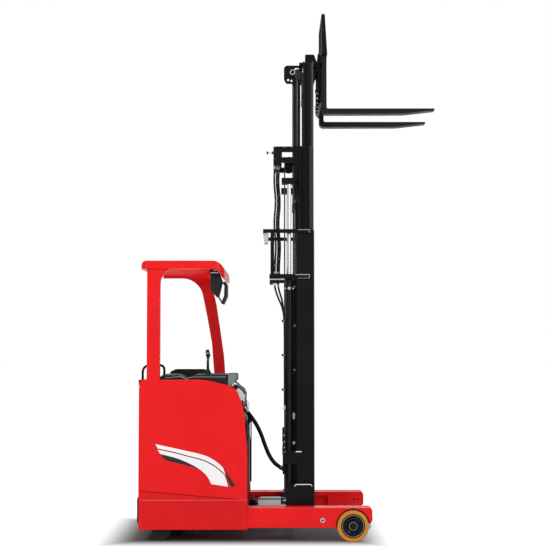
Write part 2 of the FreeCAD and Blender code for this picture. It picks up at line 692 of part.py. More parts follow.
def front_section():
    """Cowl over the battery with its nose, the front panel and the battery itself."""
    sheet = "6"
    outline = [("bay_front", "panel_top"), ("body_front - 336", "panel_top"),
               ("body_front - 102", "panel_top - 58"), ("body_front - 70", "panel_top - 214"),
               ("front_face", "front_top"), (f"front_face - {sheet}", "front_top"),
               (f"body_front - 70 - {sheet}", "panel_top - 214"),
               (f"body_front - 102 - {sheet}", f"panel_top - 58 - {sheet}"),
               ("body_front - 336", f"panel_top - {sheet}"), ("bay_front", f"panel_top - {sheet}")]
    cover = plate("cowl", "y", outline, ("-cover_inside", "cover_inside"))
    outline = [("body_front - 104", "panel_top - 62"), ("body_front - 96", "panel_top - 44"),
               ("body_front - 70", "panel_top - 50"), ("body_front - 34", "panel_top - 78"),
               ("body_front - 16", "panel_top - 116"), ("body_front - 22", "panel_top - 196"),
               ("body_front - 68", "panel_top - 224")]
    nose = plate("nose", "y", outline, ("4 - cover_inside", "-100"), {3: "30", 4: "40"})
    soften(nose, "y", "4 - cover_inside", "8")
    hollow = plate("nose_hollow", "y",
                   [("body_front - 112", "panel_top - 76"), ("body_front - 74", "panel_top - 64"),
                    ("body_front - 42", "panel_top - 88"), ("body_front - 28", "panel_top - 118"),
                    ("body_front - 32", "panel_top - 186"), ("body_front - 86", "panel_top - 208")],
                   ("16 - cover_inside", "-112"))
    node(cut("cowl_body", fuse("cowl_parts", cover, nose), hollow), "front_cowl")
    panel = plate("front_sheet", "x", [("-front_half", "tray_height"), ("front_half", "tray_height"),
                                       ("front_half", "front_top"), ("-front_half", "front_top")],
                  ("front_face - bulkhead_wall", "front_face"), {2: "20", 3: "20"})
    soften(panel, "x", "front_face", "6")
    clip = plate("hose_clip", "y",
                 [("front_face - 4", "front_top - 30"), ("front_face", "front_top - 30"),
                  ("front_face + 30", "front_top + 10.6"), ("front_face", "front_top + 50.2"),
                  ("front_face", "front_top - 2"), ("front_face - 4", "front_top - 2")],
                 ("26 - lift_offset", "94 - lift_offset"))
    node(fuse("front_parts", panel, clip), "front_panel")
    node(box("battery_block", ("bay_front + bulkhead_wall + 18", "front_face - bulkhead_wall - 3"),
             ("-front_half + 10", "front_half - 10"), ("tray_top", "battery_top")), "battery")


def overhead_guard():
    """Roof with cross bars and a curved front lip, a rear post and a leaning front post."""
    profile = [("guard_rear", "guard_base"), ("guard_rear", "guard_top"), ("guard_front", "guard_top"),
               ("guard_front", "guard_top - guard_lip"),
               ("guard_front - lip_wall", "guard_top - guard_lip + 8"),
               ("guard_front - lip_wall - 18", "guard_base")]
    side_view = plate("roof_profile", "y", profile, ("-body_half", "body_half"),
                      {1: "42", 2: "95", 5: "50"})
    plan = [("guard_rear", "-body_half"), ("guard_front", "-body_half"),
            ("guard_front", "body_half"), ("guard_rear", "body_half")]
    windows = []
    pitch = "(2 * body_half - 2 * guard_rail + bar_width) / 6"
    for number in range(6):
        low = f"-body_half + guard_rail + {number} * {pitch}"
        high = f"{low} + {pitch} - bar_width"
        windows.append([("guard_rear + guard_rail", low), ("guard_front - 105", low),
                        ("guard_front - 105", high), ("guard_rear + guard_rail", high)])
    top_view = plate("roof_plan", "z", plan, ("guard_top - guard_lip - 5", "guard_top + 5"),
                     {0: "60", 1: "90", 2: "90", 3: "60"}, windows)
    node(common("roof", side_view, top_view), "guard_roof")
    span = across(-1, "cover_inside - post_width", "cover_inside")
    rear, front = "rear_post_place", "rear_post_place + rear_post_length"
    post = plate("rear_upright", "y",
                 [(rear, "panel_top"), (front, "panel_top"), (front, "guard_base - 70"),
                  (f"{front} + 74", "guard_base"), (rear, "guard_base")], span, {2: "120"})
    node(soften(post, "y", "-cover_inside", "6"), "guard_rear_post")
    span = across(1, "cover_inside - post_width", "cover_inside")
    front, rear = "body_front - 222", "body_front - 321"
    outline = [(front, cowl_height(front)), ("body_front - 238", "body_top + 174"),
               ("body_front - 266", "body_top + 371"), ("guard_front - 117", "guard_base - 259"),
               ("guard_front - 141", "guard_base - 156"), ("guard_front - 178", "guard_base"),
               ("guard_rear + 80", "guard_base"), ("guard_rear + 80", "guard_base - 22"),
               ("guard_front - 269", "guard_base - 22"), ("guard_front - 197", "guard_base - 371"),
               ("guard_front - 157", "guard_base - 594"), (rear, cowl_height(rear))]
    post = plate("front_upright", "y", outline, span, {8: "190"})
    node(soften(post, "y", "cover_inside", "6"), "guard_front_post")


def guard_fittings():
    """Work lamp below the roof's front edge and a curved mirror beside it."""
    low, high = "-body_half + 80", "-body_half + 220"
    middle = "-body_half + 150"
    x, z = "guard_front", "guard_base"
    outline = [(f"{x} - 119", f"{z} - 12"), (f"{x} - 50", f"{z} - 12"), (f"{x} - 18", f"{z} - 99"),
               (f"{x} - 48", f"{z} - 221"), (f"{x} - 66", f"{z} - 224"), (f"{x} - 115", f"{z} - 166")]
    lamp = plate("lamp_body", "y", outline, (low, high), {0: "12", 1: "24", 2: "30", 3: "8", 5: "16"})
    soften(lamp, "y", low, "10")
    soften(lamp, "y", high, "10")
    arm = box("lamp_arm", (f"{x} - 128", f"{x} - 96"), (f"{middle} - 20", f"{middle} + 20"),
              (f"{z} - 24", z))
    strut = tube("mirror_strut", [(f"{x} - 58", middle, f"{z} - 214"), (f"{x} - 22", middle, f"{z} - 268")],
                 "6")
    outline = [(f"{x} - 22", f"{z} - 106"), (f"{x} + 8", f"{z} - 98"), (f"{x} + 22", f"{z} - 126"),
               (f"{x} + 22", f"{z} - 218"), (f"{x} - 8", f"{z} - 282"), (f"{x} - 28", f"{z} - 276"),
               (f"{x} - 4", f"{z} - 214"), (f"{x} - 1", f"{z} - 132")]
    body = plate("mirror_shell", "y", outline, (f"{middle} - 110", f"{middle} + 110"),
                 {1: "12", 2: "26", 3: "60", 4: "8", 6: "60", 7: "20"})
    node(fuse("lamp_and_mirror_parts", lamp, arm, strut, body), "lamp_and_mirror")


def console():
    """Moulded console on the column, its end cap, the levers and a grab rail."""
    rear, front = "rear_place", "body_front"
    near, far = "-cover_inside + 20", "-104"
    base = "panel_top"
    seam = f"{rear} + 371"
    tray = plate("tray_block", "y",
                 [(f"{rear} + 166", base), (f"{seam} - 3", base), (f"{seam} - 3", f"{base} + 14"),
                  (f"{seam} - 62", f"{base} + 44"), (f"{rear} + 180", f"{base} + 44"),
                  (f"{rear} + 166", f"{base} + 30")], (near, far), {2: "6", 3: "16", 4: "10", 5: "10"})
    soften(tray, "y", near, "5")
    cap_rear = f"{front} - 162"
    housing = plate("housing_block", "y",
                    [(f"{seam} + 3", base), (f"{front} - 336", base),
                     (f"{cap_rear} - 1", cowl_height(f"{cap_rear} - 1")), (f"{cap_rear} - 1", f"{base} + 46"),
                     (f"{seam} + 76", f"{base} + 46"), (f"{seam} + 3", f"{base} + 16")],
                    (near, far), {4: "20", 5: "6"})
    soften(housing, "y", near, "5")
    cap = plate("cap_block", "y",
                [(cap_rear, cowl_height(cap_rear)), (f"{front} - 110", cowl_height(f"{front} - 110")),
                 (f"{front} - 110", f"{base} - 10"), (f"{front} - 88", f"{base} - 6"),
                 (f"{front} - 88", f"{base} + 50"), (cap_rear, f"{base} + 50")],
                (near, far), {3: "6", 4: "16"})
    soften(cap, "y", near, "8")
    rim = plate("rim_block", "y",
                [(f"{rear} + 205", base), (f"{front} - 336", base), (f"{front} - 336", f"{base} + 60"),
                 (f"{front} - 376", f"{base} + 80"), (f"{rear} + 250", f"{base} + 80"),
                 (f"{rear} + 205", f"{base} + 58")], ("-100", "-42"), {2: "14", 3: "20", 4: "30", 5: "14"})
    node(pair("console_parts", tray, housing, cap, rim), "console")
    top = f"{base} + 46"
    levers = []
    for number, height in enumerate(("200", "176", "176")):
        centre = (f"{front} - 333", f"-372 + {number} * 58", 0)
        levers.append(turned(f"lever_{number}", "z", centre,
                             [("0", top), ("26", top), ("26", f"{top} + 6"), ("9", f"{top} + 40"),
                              ("6", f"{top} + {height} - 54"), ("18", f"{top} + {height} - 26"),
                              ("12", f"{top} + {height}"), ("0", f"{top} + {height}")]))
    node(pair("lever_set", *levers), "control_levers")
    y = "-body_half + 120"
    rail = tube("rail_tube", [(f"{rear} + 16", y, base), (f"{rear} + 16", y, f"{base} + 120"),
                              (f"{rear} + 190", y, f"{base} + 120"), (f"{rear} + 190", y, f"{base} + 44")],
                "10")
    node(rail, "grab_rail")


# ---------------------------------------------------------------- steering and drive
def steering():
    """Steering wheel of the operator's bay on its arm."""
    centre = ("wheel_reach", "300", "1180")
    column = fuse("column_parts",
                  box("column_arm", ("wheel_reach - 20", "bay_front - shell_wall"),
                      ("260", "340"), ("1090", "1140")),
                  rod("column_boss", "z", centre[:2], ("1090", "1150"), "30"))
    node(column, "steering_column")
    ring = turned("rim", "z", centre,
                  [("134", "-13"), ("146", "-13"), ("153", "-5"), ("153", "5"), ("146", "13"),
                   ("134", "13"), ("127", "5"), ("127", "-5")])
    spoke = box("spoke", ("wheel_reach - 140", "wheel_reach + 140"),
                ("290", "310"), ("1173", "1187"))
    hub = rod("wheel_hub", "z", centre[:2], ("1150 + seat_gap", "1190"), "30")
    node(fuse("wheel_parts", ring, spoke, hub), "steering_wheel")


def drive_unit():
    """Vertical motor, turntable and gearbox arm that carry the drive wheel."""
    inner, outer = "-drive_offset - drive_width / 2 - 52", "-drive_offset - drive_width / 2 - 10"
    cap = "deck_top + motor_height"
    motor = turned("motor", "z", ("drive_axle", "-drive_offset", 0),
                   [("0", "deck_height - 40"), ("motor_radius", "deck_height - 40"),
                    ("motor_radius", "deck_top + seat_gap"),
                    ("motor_radius + 24", "deck_top + seat_gap"),
                    ("motor_radius + 24", "deck_top + 20"), ("motor_radius - 8", "deck_top + 20"),
                    ("motor_radius - 8", f"{cap} - 20"), ("motor_radius - 50", cap), ("0", cap)])
    arm = box("gear_arm", ("drive_axle - 62", "drive_axle + 62"), (inner, outer),
              ("drive_radius - 60", "deck_height - 40"))
    gear = rod("gear_case", "y", ("drive_axle", "drive_radius"), (inner, outer), "92")
    axle = rod("drive_shaft", "y", ("drive_axle", "drive_radius"),
               (outer, "-drive_offset + drive_width / 2 - 10"), "drive_shaft")
    node(fuse("turret_parts", motor, arm, gear, axle), "drive_turret")
    low, high = "-drive_offset - drive_width / 2", "-drive_offset + drive_width / 2"
    centre = ("drive_axle", 0, "drive_radius")
    node(turned("drive_tread", "y", centre,
                [("drive_rim", low), ("drive_radius - 5", low), ("drive_radius", f"{low} + 5"),
                 ("drive_radius", f"{high} - 5"), ("drive_radius - 5", high), ("drive_rim", high)]),
         "drive_tyre")
    bore = "drive_shaft + shaft_gap"
    node(turned("drive_disc", "y", centre,
                [(bore, f"{low} + 4"), ("drive_rim", f"{low} + 4"), ("drive_rim", f"{high} - 4"),
                 ("drive_rim - 12", f"{high} - 4"), ("drive_rim - 16", f"{high} - 30"),
                 (bore, f"{high} - 30")]), "drive_hub")


def caster():
    """Swivelling fork with twin wheels on one axle."""
    spot = ("swivel_place", "-caster_offset")
    head = rod("caster_head", "z", spot, ("176", "204 - seat_gap"), "46")
    pin = rod("caster_pin", "z", spot, ("190", "290"), "swivel_radius")
    web = box("caster_web", ("caster_axle - 26", "swivel_place + 30"),
              ("-caster_offset - 6", "-caster_offset + 6"), ("40", "180"))
    bore = rod("caster_axle_hole", "y", ("caster_axle", "caster_radius"),
               ("-caster_offset - 10", "-caster_offset + 10"), "caster_shaft")
    node(cut("caster_fork_body", fuse("caster_parts", head, pin, web), bore), "caster_fork")
    gap = "8"
    wheels = [rod("caster_axle_bar", "y", ("caster_axle", "caster_radius"),
                  (f"-caster_offset - {gap} - caster_width", f"-caster_offset + {gap} + caster_width"),
                  "caster_shaft - shaft_gap")]
    for name, side in SIDES.items():
        low = f"-caster_offset + {side} * {gap}"
        high = f"-caster_offset + {side} * ({gap} + caster_width)"
        wheels.append(turned(name + "_caster_wheel", "y", ("caster_axle", 0, "caster_radius"),
                             [("0", low), ("caster_radius - 3", low),
                              ("caster_radius", f"{low} + {side} * 5"),
                              ("caster_radius", f"{high} - {side} * 5"),
                              ("caster_radius - 3", high), ("0", high)]))
    node(fuse("caster_pair", *wheels), "caster_wheels")


# ---------------------------------------------------------------- mast
def guided(channel, name, side, rear, depth, wall, near, far, height):
    """A mast channel with the roller that runs between another stage's flanges."""
    roller = rod(name + "_roller", "y", (f"{rear} + ({depth}) / 2", height), across(side, near, far),
                 f"({depth}) / 2 - {wall} - seat_gap")
    return fuse(name + "_guided", channel, roller)


def outer_mast():
    """Side plates, bottom beam, roller arms and the two outer channels."""
    channels = []
    for name, side in SIDES.items():
        inner = "outer_half - outer_reach"
        web = "outer_half - outer_wall"
        rear, front = "mast_rear", "mast_front"
        outline = [(rear, "outer_half"), (front, "outer_half"), (front, inner),
                   (f"{front} - outer_wall", inner), (f"{front} - outer_wall", web),
                   (f"{rear} + outer_wall", web), (f"{rear} + outer_wall", inner), (rear, inner)]
        outline = [(x, offset(side, y)) for x, y in outline]
        channel = plate(name + "_channel", "z", outline, ("mast_foot", "outer_top"))
        channels.append(guided(channel, name + "_outer", side, "middle_rear", "middle_depth",
                               "stage_wall", "middle_web + stage_wall / 2 + step_gap",
                               "outer_half - outer_wall", "outer_top - 60"))
    node(pair("outer_pair", *channels), "outer_channels")
    pieces = []
    for name, side in SIDES.items():
        outline = [("side_rear", "leg_middle - 50"), ("mast_front - 3", "leg_middle - 50"),
                   ("mast_front - 3", "leg_top + 128"), ("mast_front - 43", "leg_top + 173"),
                   ("mast_rear - 40", "leg_top + 173"), ("mast_rear - 86", "leg_top + 128"),
                   ("mast_rear - 86", "leg_middle + 38"), ("side_rear", "leg_middle + 38")]
        pieces.append(plate(name + "_side_plate", "y", outline,
                            across(side, "outer_half", "plate_outside"),
                            {0: "20", 2: "8", 3: "8", 4: "8", 5: "8", 7: "20"}))
        for mark, spot in (("rear", "side_rear + 46"), ("front", "mast_rear - 10")):
            pieces.append(rod(f"{name}_{mark}_pin", "y", (spot, "leg_middle"),
                              across(side, "plate_outside", "leg_inside + 4"), "14"))
            pieces.append(rod(f"{name}_{mark}_roller", "y", (spot, "leg_middle"),
                              across(side, "leg_inside + 4", "leg_inside + rail_depth - 6"),
                              "rail_height / 2 - seat_gap"))
    pieces.append(box("bottom_beam", ("beam_rear", "beam_front"), ("-outer_half", "outer_half"),
                      ("mast_foot", "beam_top")))
    node(fuse("carriage_parts", *pieces), "reach_carriage")
    brackets = []
    for name, side in SIDES.items():
        block = plate(name + "_clamp", "y",
                      [("lift_place - 54", "mast_foot + 484"), ("mast_rear", "mast_foot + 484"),
                       ("mast_rear", "mast_foot + 584"), ("lift_place - 30", "mast_foot + 584"),
                       ("lift_place - 54", "mast_foot + 560")],
                      across(side, "lift_offset - 22", "outer_half"), {3: "10", 4: "10"})
        cheek = plate(name + "_cheek", "y",
                      [("lift_place - 54", "mast_foot + 484"), ("mast_rear + 45", "mast_foot + 484"),
                       ("mast_rear + 45", "mast_foot + 556"), ("mast_rear + 25", "mast_foot + 584"),
                       ("lift_place - 30", "mast_foot + 584"), ("lift_place - 54", "mast_foot + 560")],
                      across(side, "outer_half", "outer_half + guard_plate"), {2: "6", 3: "6", 4: "10"})
        bore = rod(name + "_clamp_bore", "z", ("lift_place", offset(side, "lift_offset")),
                   ("beam_top + 190", "mast_foot + 600"), "lift_radius + shaft_gap")
        if side < 0:
            port = box("hose_port", ("lift_place - 54", "lift_place - 12"),
                       ("22 - lift_offset", "90 - lift_offset"), ("mast_foot + 390", "mast_foot + 530"))
            block = cut("port_block", fuse("port_parts", block, port),
                        *reach_lines("port_hole", "hose_radius + shaft_gap"))
        brackets.append(fuse(name + "_bracket", cut(name + "_bored_clamp", block, bore), cheek))
    node(pair("bracket_pair", *brackets), "barrel_brackets")


def mast_guard():
    """Two U-shaped guard frames round the mast, with their uprights and the hose manifold."""
    pieces = []
    low, high = "outer_half", "outer_half + guard_plate"
    for mark, rear, base, height in (("upper", "mast_rear - 274", "upper_bar", "31"),
                                     ("lower", "mast_rear - 222", "lower_bar", "38")):
        top = f"{base} + {height}"
        for name, side in SIDES.items():
            pieces.append(box(f"{mark}_{name}_arm", (rear, "mast_front - 36"), across(side, low, high),
                              (base, top)))
        pieces.append(box(f"{mark}_bar", (rear, f"{rear} + guard_bar"), (f"-({high})", high), (base, top)))
    for name, side in SIDES.items():
        pieces.append(box(name + "_stay", ("mast_rear - 213", "mast_rear - 184"), across(side, low, high),
                          ("lower_bar + 38", "upper_bar")))
    pieces.append(box("low_manifold", ("mast_rear - 222 + guard_bar", "mast_rear - 130"),
                      ("-300", "-228"), ("lower_bar", "lower_bar + 38")))
    node(fuse("guard_parts", *pieces), "mast_guard")


def lift_cylinders():
    """Two lift cylinders: bored barrels on the outer mast, rods under the crosshead."""
    barrels, rams = [], []
    for name, side in SIDES.items():
        centre = ("lift_place", offset(side, "lift_offset"), 0)
        base, gland = "beam_top", "lift_top - gland_height"
        barrels.append(turned(name + "_lift_body", "z", centre,
                              [("0", base), ("lift_radius", base), ("lift_radius", "lift_top"),
                               ("lift_rod + 0.2", "lift_top"), ("lift_rod + 0.2", gland),
                               ("lift_bore", gland), ("lift_bore", f"{base} + 30"),
                               ("0", f"{base} + 30")]))
        low = f"{base} + 35 + lift_rest"
        rams.append(turned(name + "_lift_ram", "z", centre,
                           [("0", low), ("lift_bore - 0.2", low), ("lift_bore - 0.2", f"{low} + 40"),
                            ("lift_rod", f"{low} + 40"), ("lift_rod", "crosshead_base"),
                            ("0", "crosshead_base")]))
    node(pair("barrel_pair", *barrels), "lift_barrels")
    node(pair("ram_pair", *rams), "lift_rods")


def reach_cylinder():
    """Cylinder below the battery that pushes the mast out and pulls it in."""
    spot = ("ram_offset", "ram_height")
    body = rod("reach_body", "x", spot, ("ram_rear", "ram_front"), "ram_radius")
    chamber = rod("reach_bore", "x", spot, ("ram_rear + 30", "ram_front - gland_height"), "ram_bore")
    gland = rod("reach_gland", "x", spot, ("ram_front - gland_height - 10", "ram_front + 10"),
                "ram_rod + 0.2")
    lug = box("reach_lug", ("ram_rear", "ram_rear + 30"), ("ram_offset - 15", "ram_offset + 15"),
              ("ram_height + 10", "floor_height - deck_wall"))
    node(fuse("reach_parts", cut("reach_bored", body, chamber, gland), lug), "reach_cylinder_barrel")
    start = "ram_rear + 36 + reach_stroke"
    head = rod("reach_piston", "x", spot, (start, f"{start} + 28"), "ram_bore - 0.2")
    shaft = rod("reach_shaft", "x", spot, (f"{start} + 28", "beam_rear"), "ram_rod")
    node(fuse("reach_ram", head, shaft), "reach_cylinder_rod")


def hose_tray():
    """Channel below the battery tray that carries the hoses as the mast moves."""
    rear, front = "mast_rear - 314", "mast_rear - 127"
    low, high = "-304", "-244"
    base, top = "beam_top + 30", "tray_height - 12"
    pieces = [box("tray_floor", (rear, front), (low, high), (base, f"{base} + 5"))]
    for mark, near, far in (("outer", low, f"{low} + 5"), ("inner", f"{high} - 5", high)):
        outline = [(rear, base), (front, base), (front, top), (f"{rear} + 22", top), (rear, f"{top} - 18")]
        pieces.append(plate(f"tray_{mark}_side", "y", outline, (near, far), {3: "8", 4: "8"}))
    pieces.append(box("tray_foot", (f"{front} - 6", "beam_rear + 24"), (f"{low} + 5", f"{high} - 5"),
                      ("beam_top", "beam_top + 42")))
    node(fuse("tray_parts", *pieces), "hose_tray")


def stage_channel(name, side, rear, depth, web, foot, top):
    """A rolled channel with flanges on both sides of its web."""
    half = "stage_wall / 2"
    out, inn = f"{web} + flange_out", f"{web} - flange_in"
    front = f"{rear} + {depth}"
    outline = [(rear, inn), (f"{rear} + stage_wall", inn), (f"{rear} + stage_wall", f"{web} - {half}"),
               (f"{front} - stage_wall", f"{web} - {half}"), (f"{front} - stage_wall", inn),
               (front, inn), (front, out), (f"{front} - stage_wall", out),
               (f"{front} - stage_wall", f"{web} + {half}"), (f"{rear} + stage_wall", f"{web} + {half}"),
               (f"{rear} + stage_wall", out), (rear, out)]
    outline = [(x, offset(side, y)) for x, y in outline]
    return plate(name, "z", outline, (foot, top))


def chain_wheel(name, side, x, z, low, high, radius):
    """A grooved chain wheel with the half turn of chain that lies on it."""
    wall = "1.5"
    near, far = across(side, low, high)
    rim = f"{radius} + flange_step"
    wheel = turned(name + "_wheel", "y", (x, 0, z),
                   [("0", near), (rim, near), (rim, f"{near} + {wall}"), (radius, f"{near} + {wall}"),
                    (radius, f"{far} - {wall}"), (rim, f"{far} - {wall}"), (rim, far), ("0", far)])
    middle = f"({near} + {far}) / 2"
    belt = rod(name + "_wrap", "y", (x, z), (f"{middle} - chain_width / 2", f"{middle} + chain_width / 2"),
               f"{radius} + chain_depth")
    below = box(name + "_below", (f"{x} - 80", f"{x} + 80"), (f"{near} - 10", f"{far} + 10"),
                (f"{z} - 80", z))
    return fuse(name + "_pulley", wheel, cut(name + "_half_wrap", belt, below))


def middle_mast():
    """Middle stage: two channels, a low cross beam and the head over the lift rods."""
    channels = []
    face = "stage_wall / 2"
    for name, side in SIDES.items():
        channel = stage_channel(name + "_middle", side, "middle_rear", "middle_depth",
                                "middle_web", "middle_foot", "middle_top")
        channel = guided(channel, name + "_middle_low", side, "mast_rear", "channel_depth", "outer_wall",
                         f"middle_web + {face}", "outer_half - outer_wall - step_gap", "middle_foot + 60")
        channels.append(guided(channel, name + "_middle_high", side, "inner_rear", "inner_depth",
                               "stage_wall", f"inner_web + {face} + step_gap", f"middle_web - {face}",
                               "middle_top - 60"))
    node(pair("middle_pair", *channels), "middle_channels")
    low, high = "middle_foot + 10", "middle_foot + 80"
    beam = [box("middle_low_beam", ("mast_rear - 50", "mast_rear - 30"),
                ("-frame_outside", "frame_outside"), (low, high))]
    pieces = []
    for name, side in SIDES.items():
        beam.append(box(name + "_low_gusset", ("mast_rear - 30", "middle_rear"),
                        across(side, "frame_inside - 12", "frame_outside"), (low, high)))
        window = [("lift_place - 58", "frame_base + 45"), ("lift_place + 43", "frame_base + 45"),
                  ("lift_place + 43", "frame_base + 88"), ("lift_place - 58", "frame_base + 88")]
        outline = [("frame_rear", "frame_base"), ("middle_rear", "frame_base"),
                   ("middle_rear", "frame_top"), ("frame_rear", "frame_top")]
        pieces.append(plate(name + "_top_plate", "y", outline,
                            across(side, "frame_inside", "frame_outside"), {0: "12", 3: "12"}, [window]))
        pieces.append(box(name + "_head", ("lift_place - 62", "lift_place + 52"),
                          across(side, "frame_inside", "lift_offset + 28"),
                          ("crosshead_base", "crosshead_top")))
        pieces.append(box(name + "_head_plate", ("lift_place + 46", "middle_rear"),
                          across(side, "frame_inside", "frame_outside"),
                          ("crosshead_base", "frame_base + 2")))
        inner, outer = "stage_chain - chain_width / 2 - 2", "stage_chain + chain_width / 2 + 2"
        pieces.append(chain_wheel(name + "_stage", side, "stage_place", "pulley_height", inner, outer,
                                  "stage_radius"))
        pieces.append(rod(name + "_stage_pin", "y", ("stage_place", "pulley_height"),
                          across(side, outer, "frame_inside"), "10"))
    pieces.append(box("middle_top_beam", ("frame_rear", "frame_rear + frame_wall"),
                      ("-frame_inside", "frame_inside"), ("frame_base", "frame_top")))
    pieces.append(box("top_manifold", ("frame_rear", "mast_rear - 130"),
                      ("3 - frame_outside", "-228"), ("frame_base - 22", "frame_base + 2")))
    node(fuse("low_frame", *beam), "middle_lower_frame")
    node(fuse("top_frame", *pieces), "middle_top_frame")


def inner_mast():
    """Inner stage: two channels, a foot beam with chain lugs and a head beam with a cheek."""
    channels = []
    for name, side in SIDES.items():
        channel = stage_channel(name + "_inner", side, "inner_rear", "inner_depth",
                                "inner_web", "inner_foot", "inner_top")
        channels.append(guided(channel, name + "_inner_low", side, "middle_rear", "middle_depth",
                               "stage_wall", "inner_web + stage_wall / 2",
                               "middle_web - stage_wall / 2 - step_gap", "inner_foot + 60"))
    node(pair("inner_pair", *channels), "inner_channels")
    half = "inner_web + stage_wall / 2"
    shelf = [box("inner_shelf", ("free_place - 26", "inner_rear"), (f"-({half})", half),
                 ("inner_foot", "shelf_top"))]
    rear = "free_place + 10"
    head = [box("inner_head", (rear, "inner_rear"), (f"-({half})", half),
                ("inner_top - 26", "inner_top"))]
    for name, side in SIDES.items():
        shelf.append(box(name + "_chain_lug", ("stage_place + stage_radius", "free_place - 26"),
                         across(side, "stage_chain - 15", "stage_chain + 15"),
                         ("inner_foot", "shelf_top")))
    x, z = "free_place", "wheel_place"
    outline = [(f"{x} - 117", f"{z} - 50"), (f"{x} - 97", f"{z} - 85"), (f"{x} - 28", f"{z} - 85"),
               (f"{x} - 28", f"{z} + 50"), (rear, f"{z} + 50"), (rear, "inner_top - 6"),
               (f"{x} - 117", "inner_top - 6")]
    cheek = plate("wheel_cheek", "y", outline, ("-free_offset - 30", "-free_offset - 19"),
                  {0: "14", 1: "14", 2: "20", 3: "6", 6: "30"})
    holes = [rod(f"cheek_hole_{number}", "y", (f"{x} - {back}", f"{z} - {down}"),
                 ("-free_offset - 60", "-free_offset"), "10")
             for number, (back, down) in enumerate((("82", "52"), ("52", "59")))]
    ring = rod("cheek_boss", "y", (f"{x} - 50", f"{z} - 3"), ("-free_offset - 34", "-free_offset - 28"),
               "20")
    head += [cut("cheek_plate", cheek, *holes), ring]
    node(pair("inner_beams", fuse("foot_beam", *shelf), fuse("head_beam", *head)), "inner_crossbars")


def free_lift():
    """Free-lift cylinders on the inner mast with the chain wheels on their rods."""
    barrels = []
    rams = []
    for name, side in SIDES.items():
        centre = ("free_place", offset(side, "free_offset"), 0)
        gland, low = "free_top - gland_height", "free_top - 148"
        barrel = turned(name + "_free_body", "z", centre,
                        [("0", "shelf_top"), ("free_radius", "shelf_top"), ("free_radius", "free_top"),
                         ("free_rod + 0.2", "free_top"), ("free_rod + 0.2", gland), ("free_bore", gland),
                         ("free_bore", "shelf_top + 20"), ("0", "shelf_top + 20")])
        back = "free_place - chain_radius"
        lug = plate(name + "_chain_anchor", "y",
                    [(f"{back} - chain_depth - 2", "free_top - 60"), (f"{back} + 11", "free_top - 60"),
                     (f"{back} + 11", "free_top - 6"), (f"{back} + 2", "free_top + 3"),
                     (f"{back} + 2", "free_top + 15"), (f"{back} - chain_depth - 2", "free_top + 15")],
                    across(side, "free_offset - chain_width / 2", "free_offset + chain_width / 2"))
        barrels.append(fuse(name + "_free_barrel", barrel, lug))
        rams.append(turned(name + "_free_ram", "z", centre,
                           [("0", low), ("free_bore - 0.2", low), ("free_bore - 0.2", f"{low} + 38"),
                            ("free_rod", f"{low} + 38"), ("free_rod", "wheel_place - 46"),
                            ("0", "wheel_place - 46")]))
    node(pair("free_barrels", *barrels), "free_lift_barrels")
    for name, side in SIDES.items():
        rams.append(box(name + "_yoke_base", ("free_place - 22", "free_place + 22"),
                        across(side, "free_offset - 24", "free_offset + 24"),
                        ("wheel_place - 50", "wheel_place - 44")))
        for mark, near, far in (("near", "free_offset - 24", "free_offset - 17"),
                                ("far", "free_offset + 17", "free_offset + 24")):
            rams.append(box(f"{name}_{mark}_ear", ("free_place - 18", "free_place + 18"),
                            across(side, near, far), ("wheel_place - 46", "wheel_place + 16")))
        rams.append(chain_wheel(name + "_chain", side, "free_place", "wheel_place",
                                "free_offset - 13", "free_offset + 13", "chain_radius"))
        rams.append(rod(name + "_chain_pin", "y", ("free_place", "wheel_place"),
                        across(side, "free_offset - 24", "free_offset + 24"), "9"))
    rams.append(box("free_bridge", ("free_place - 12", "free_place + 12"),
                    ("-(free_offset - 18)", "free_offset - 18"), ("wheel_place - 40", "wheel_place - 20")))
    node(fuse("ram_parts", *rams), "free_lift_rods")


def falls(name, spot, middle, low, high):
    """Straight falls of leaf chain on both sides of the centre plane."""
    pieces = []
    for hand, side in SIDES.items():
        span = across(side, f"{middle} - chain_width / 2", f"{middle} + chain_width / 2")
        pieces.append(box(f"{name}_{hand}", (spot, f"{spot} + chain_depth"), span, (low, high)))
    node(pair(name + "_pair", *pieces), name)


def chains():
    """Falls of the chains between their anchors and the chain wheels."""
    falls("carriage_chain_rear", "free_place - chain_radius - chain_depth", "free_offset",
          "free_top + 15", "wheel_place")
    falls("carriage_chain_front", "free_place + chain_radius", "free_offset",
          "carriage_base + 100", "wheel_place")
    falls("stage_chain_rear", "stage_place - stage_radius - chain_depth", "stage_chain",
          "beam_top", "pulley_height")
    falls("stage_chain_front", "stage_place + stage_radius", "stage_chain",
          "shelf_top", "pulley_height")


def hoses():
    """Upright hoses on the mast, and the hoses from the body to the mast."""
    lines = [rod(f"mast_hose_{number}", "z", (x, y), ("lower_bar + 38", "frame_base - 22"), "pipe_radius")
             for number, (x, y) in enumerate((("mast_rear - 178", "-284"), ("mast_rear - 158", "-262"),
                                              ("mast_rear - 142", "-240")))]
    node(pair("mast_hose_set", *lines), "mast_hoses")
    node(pair("reach_hose_set", *reach_lines("reach_hose", "hose_radius")), "reach_hoses")


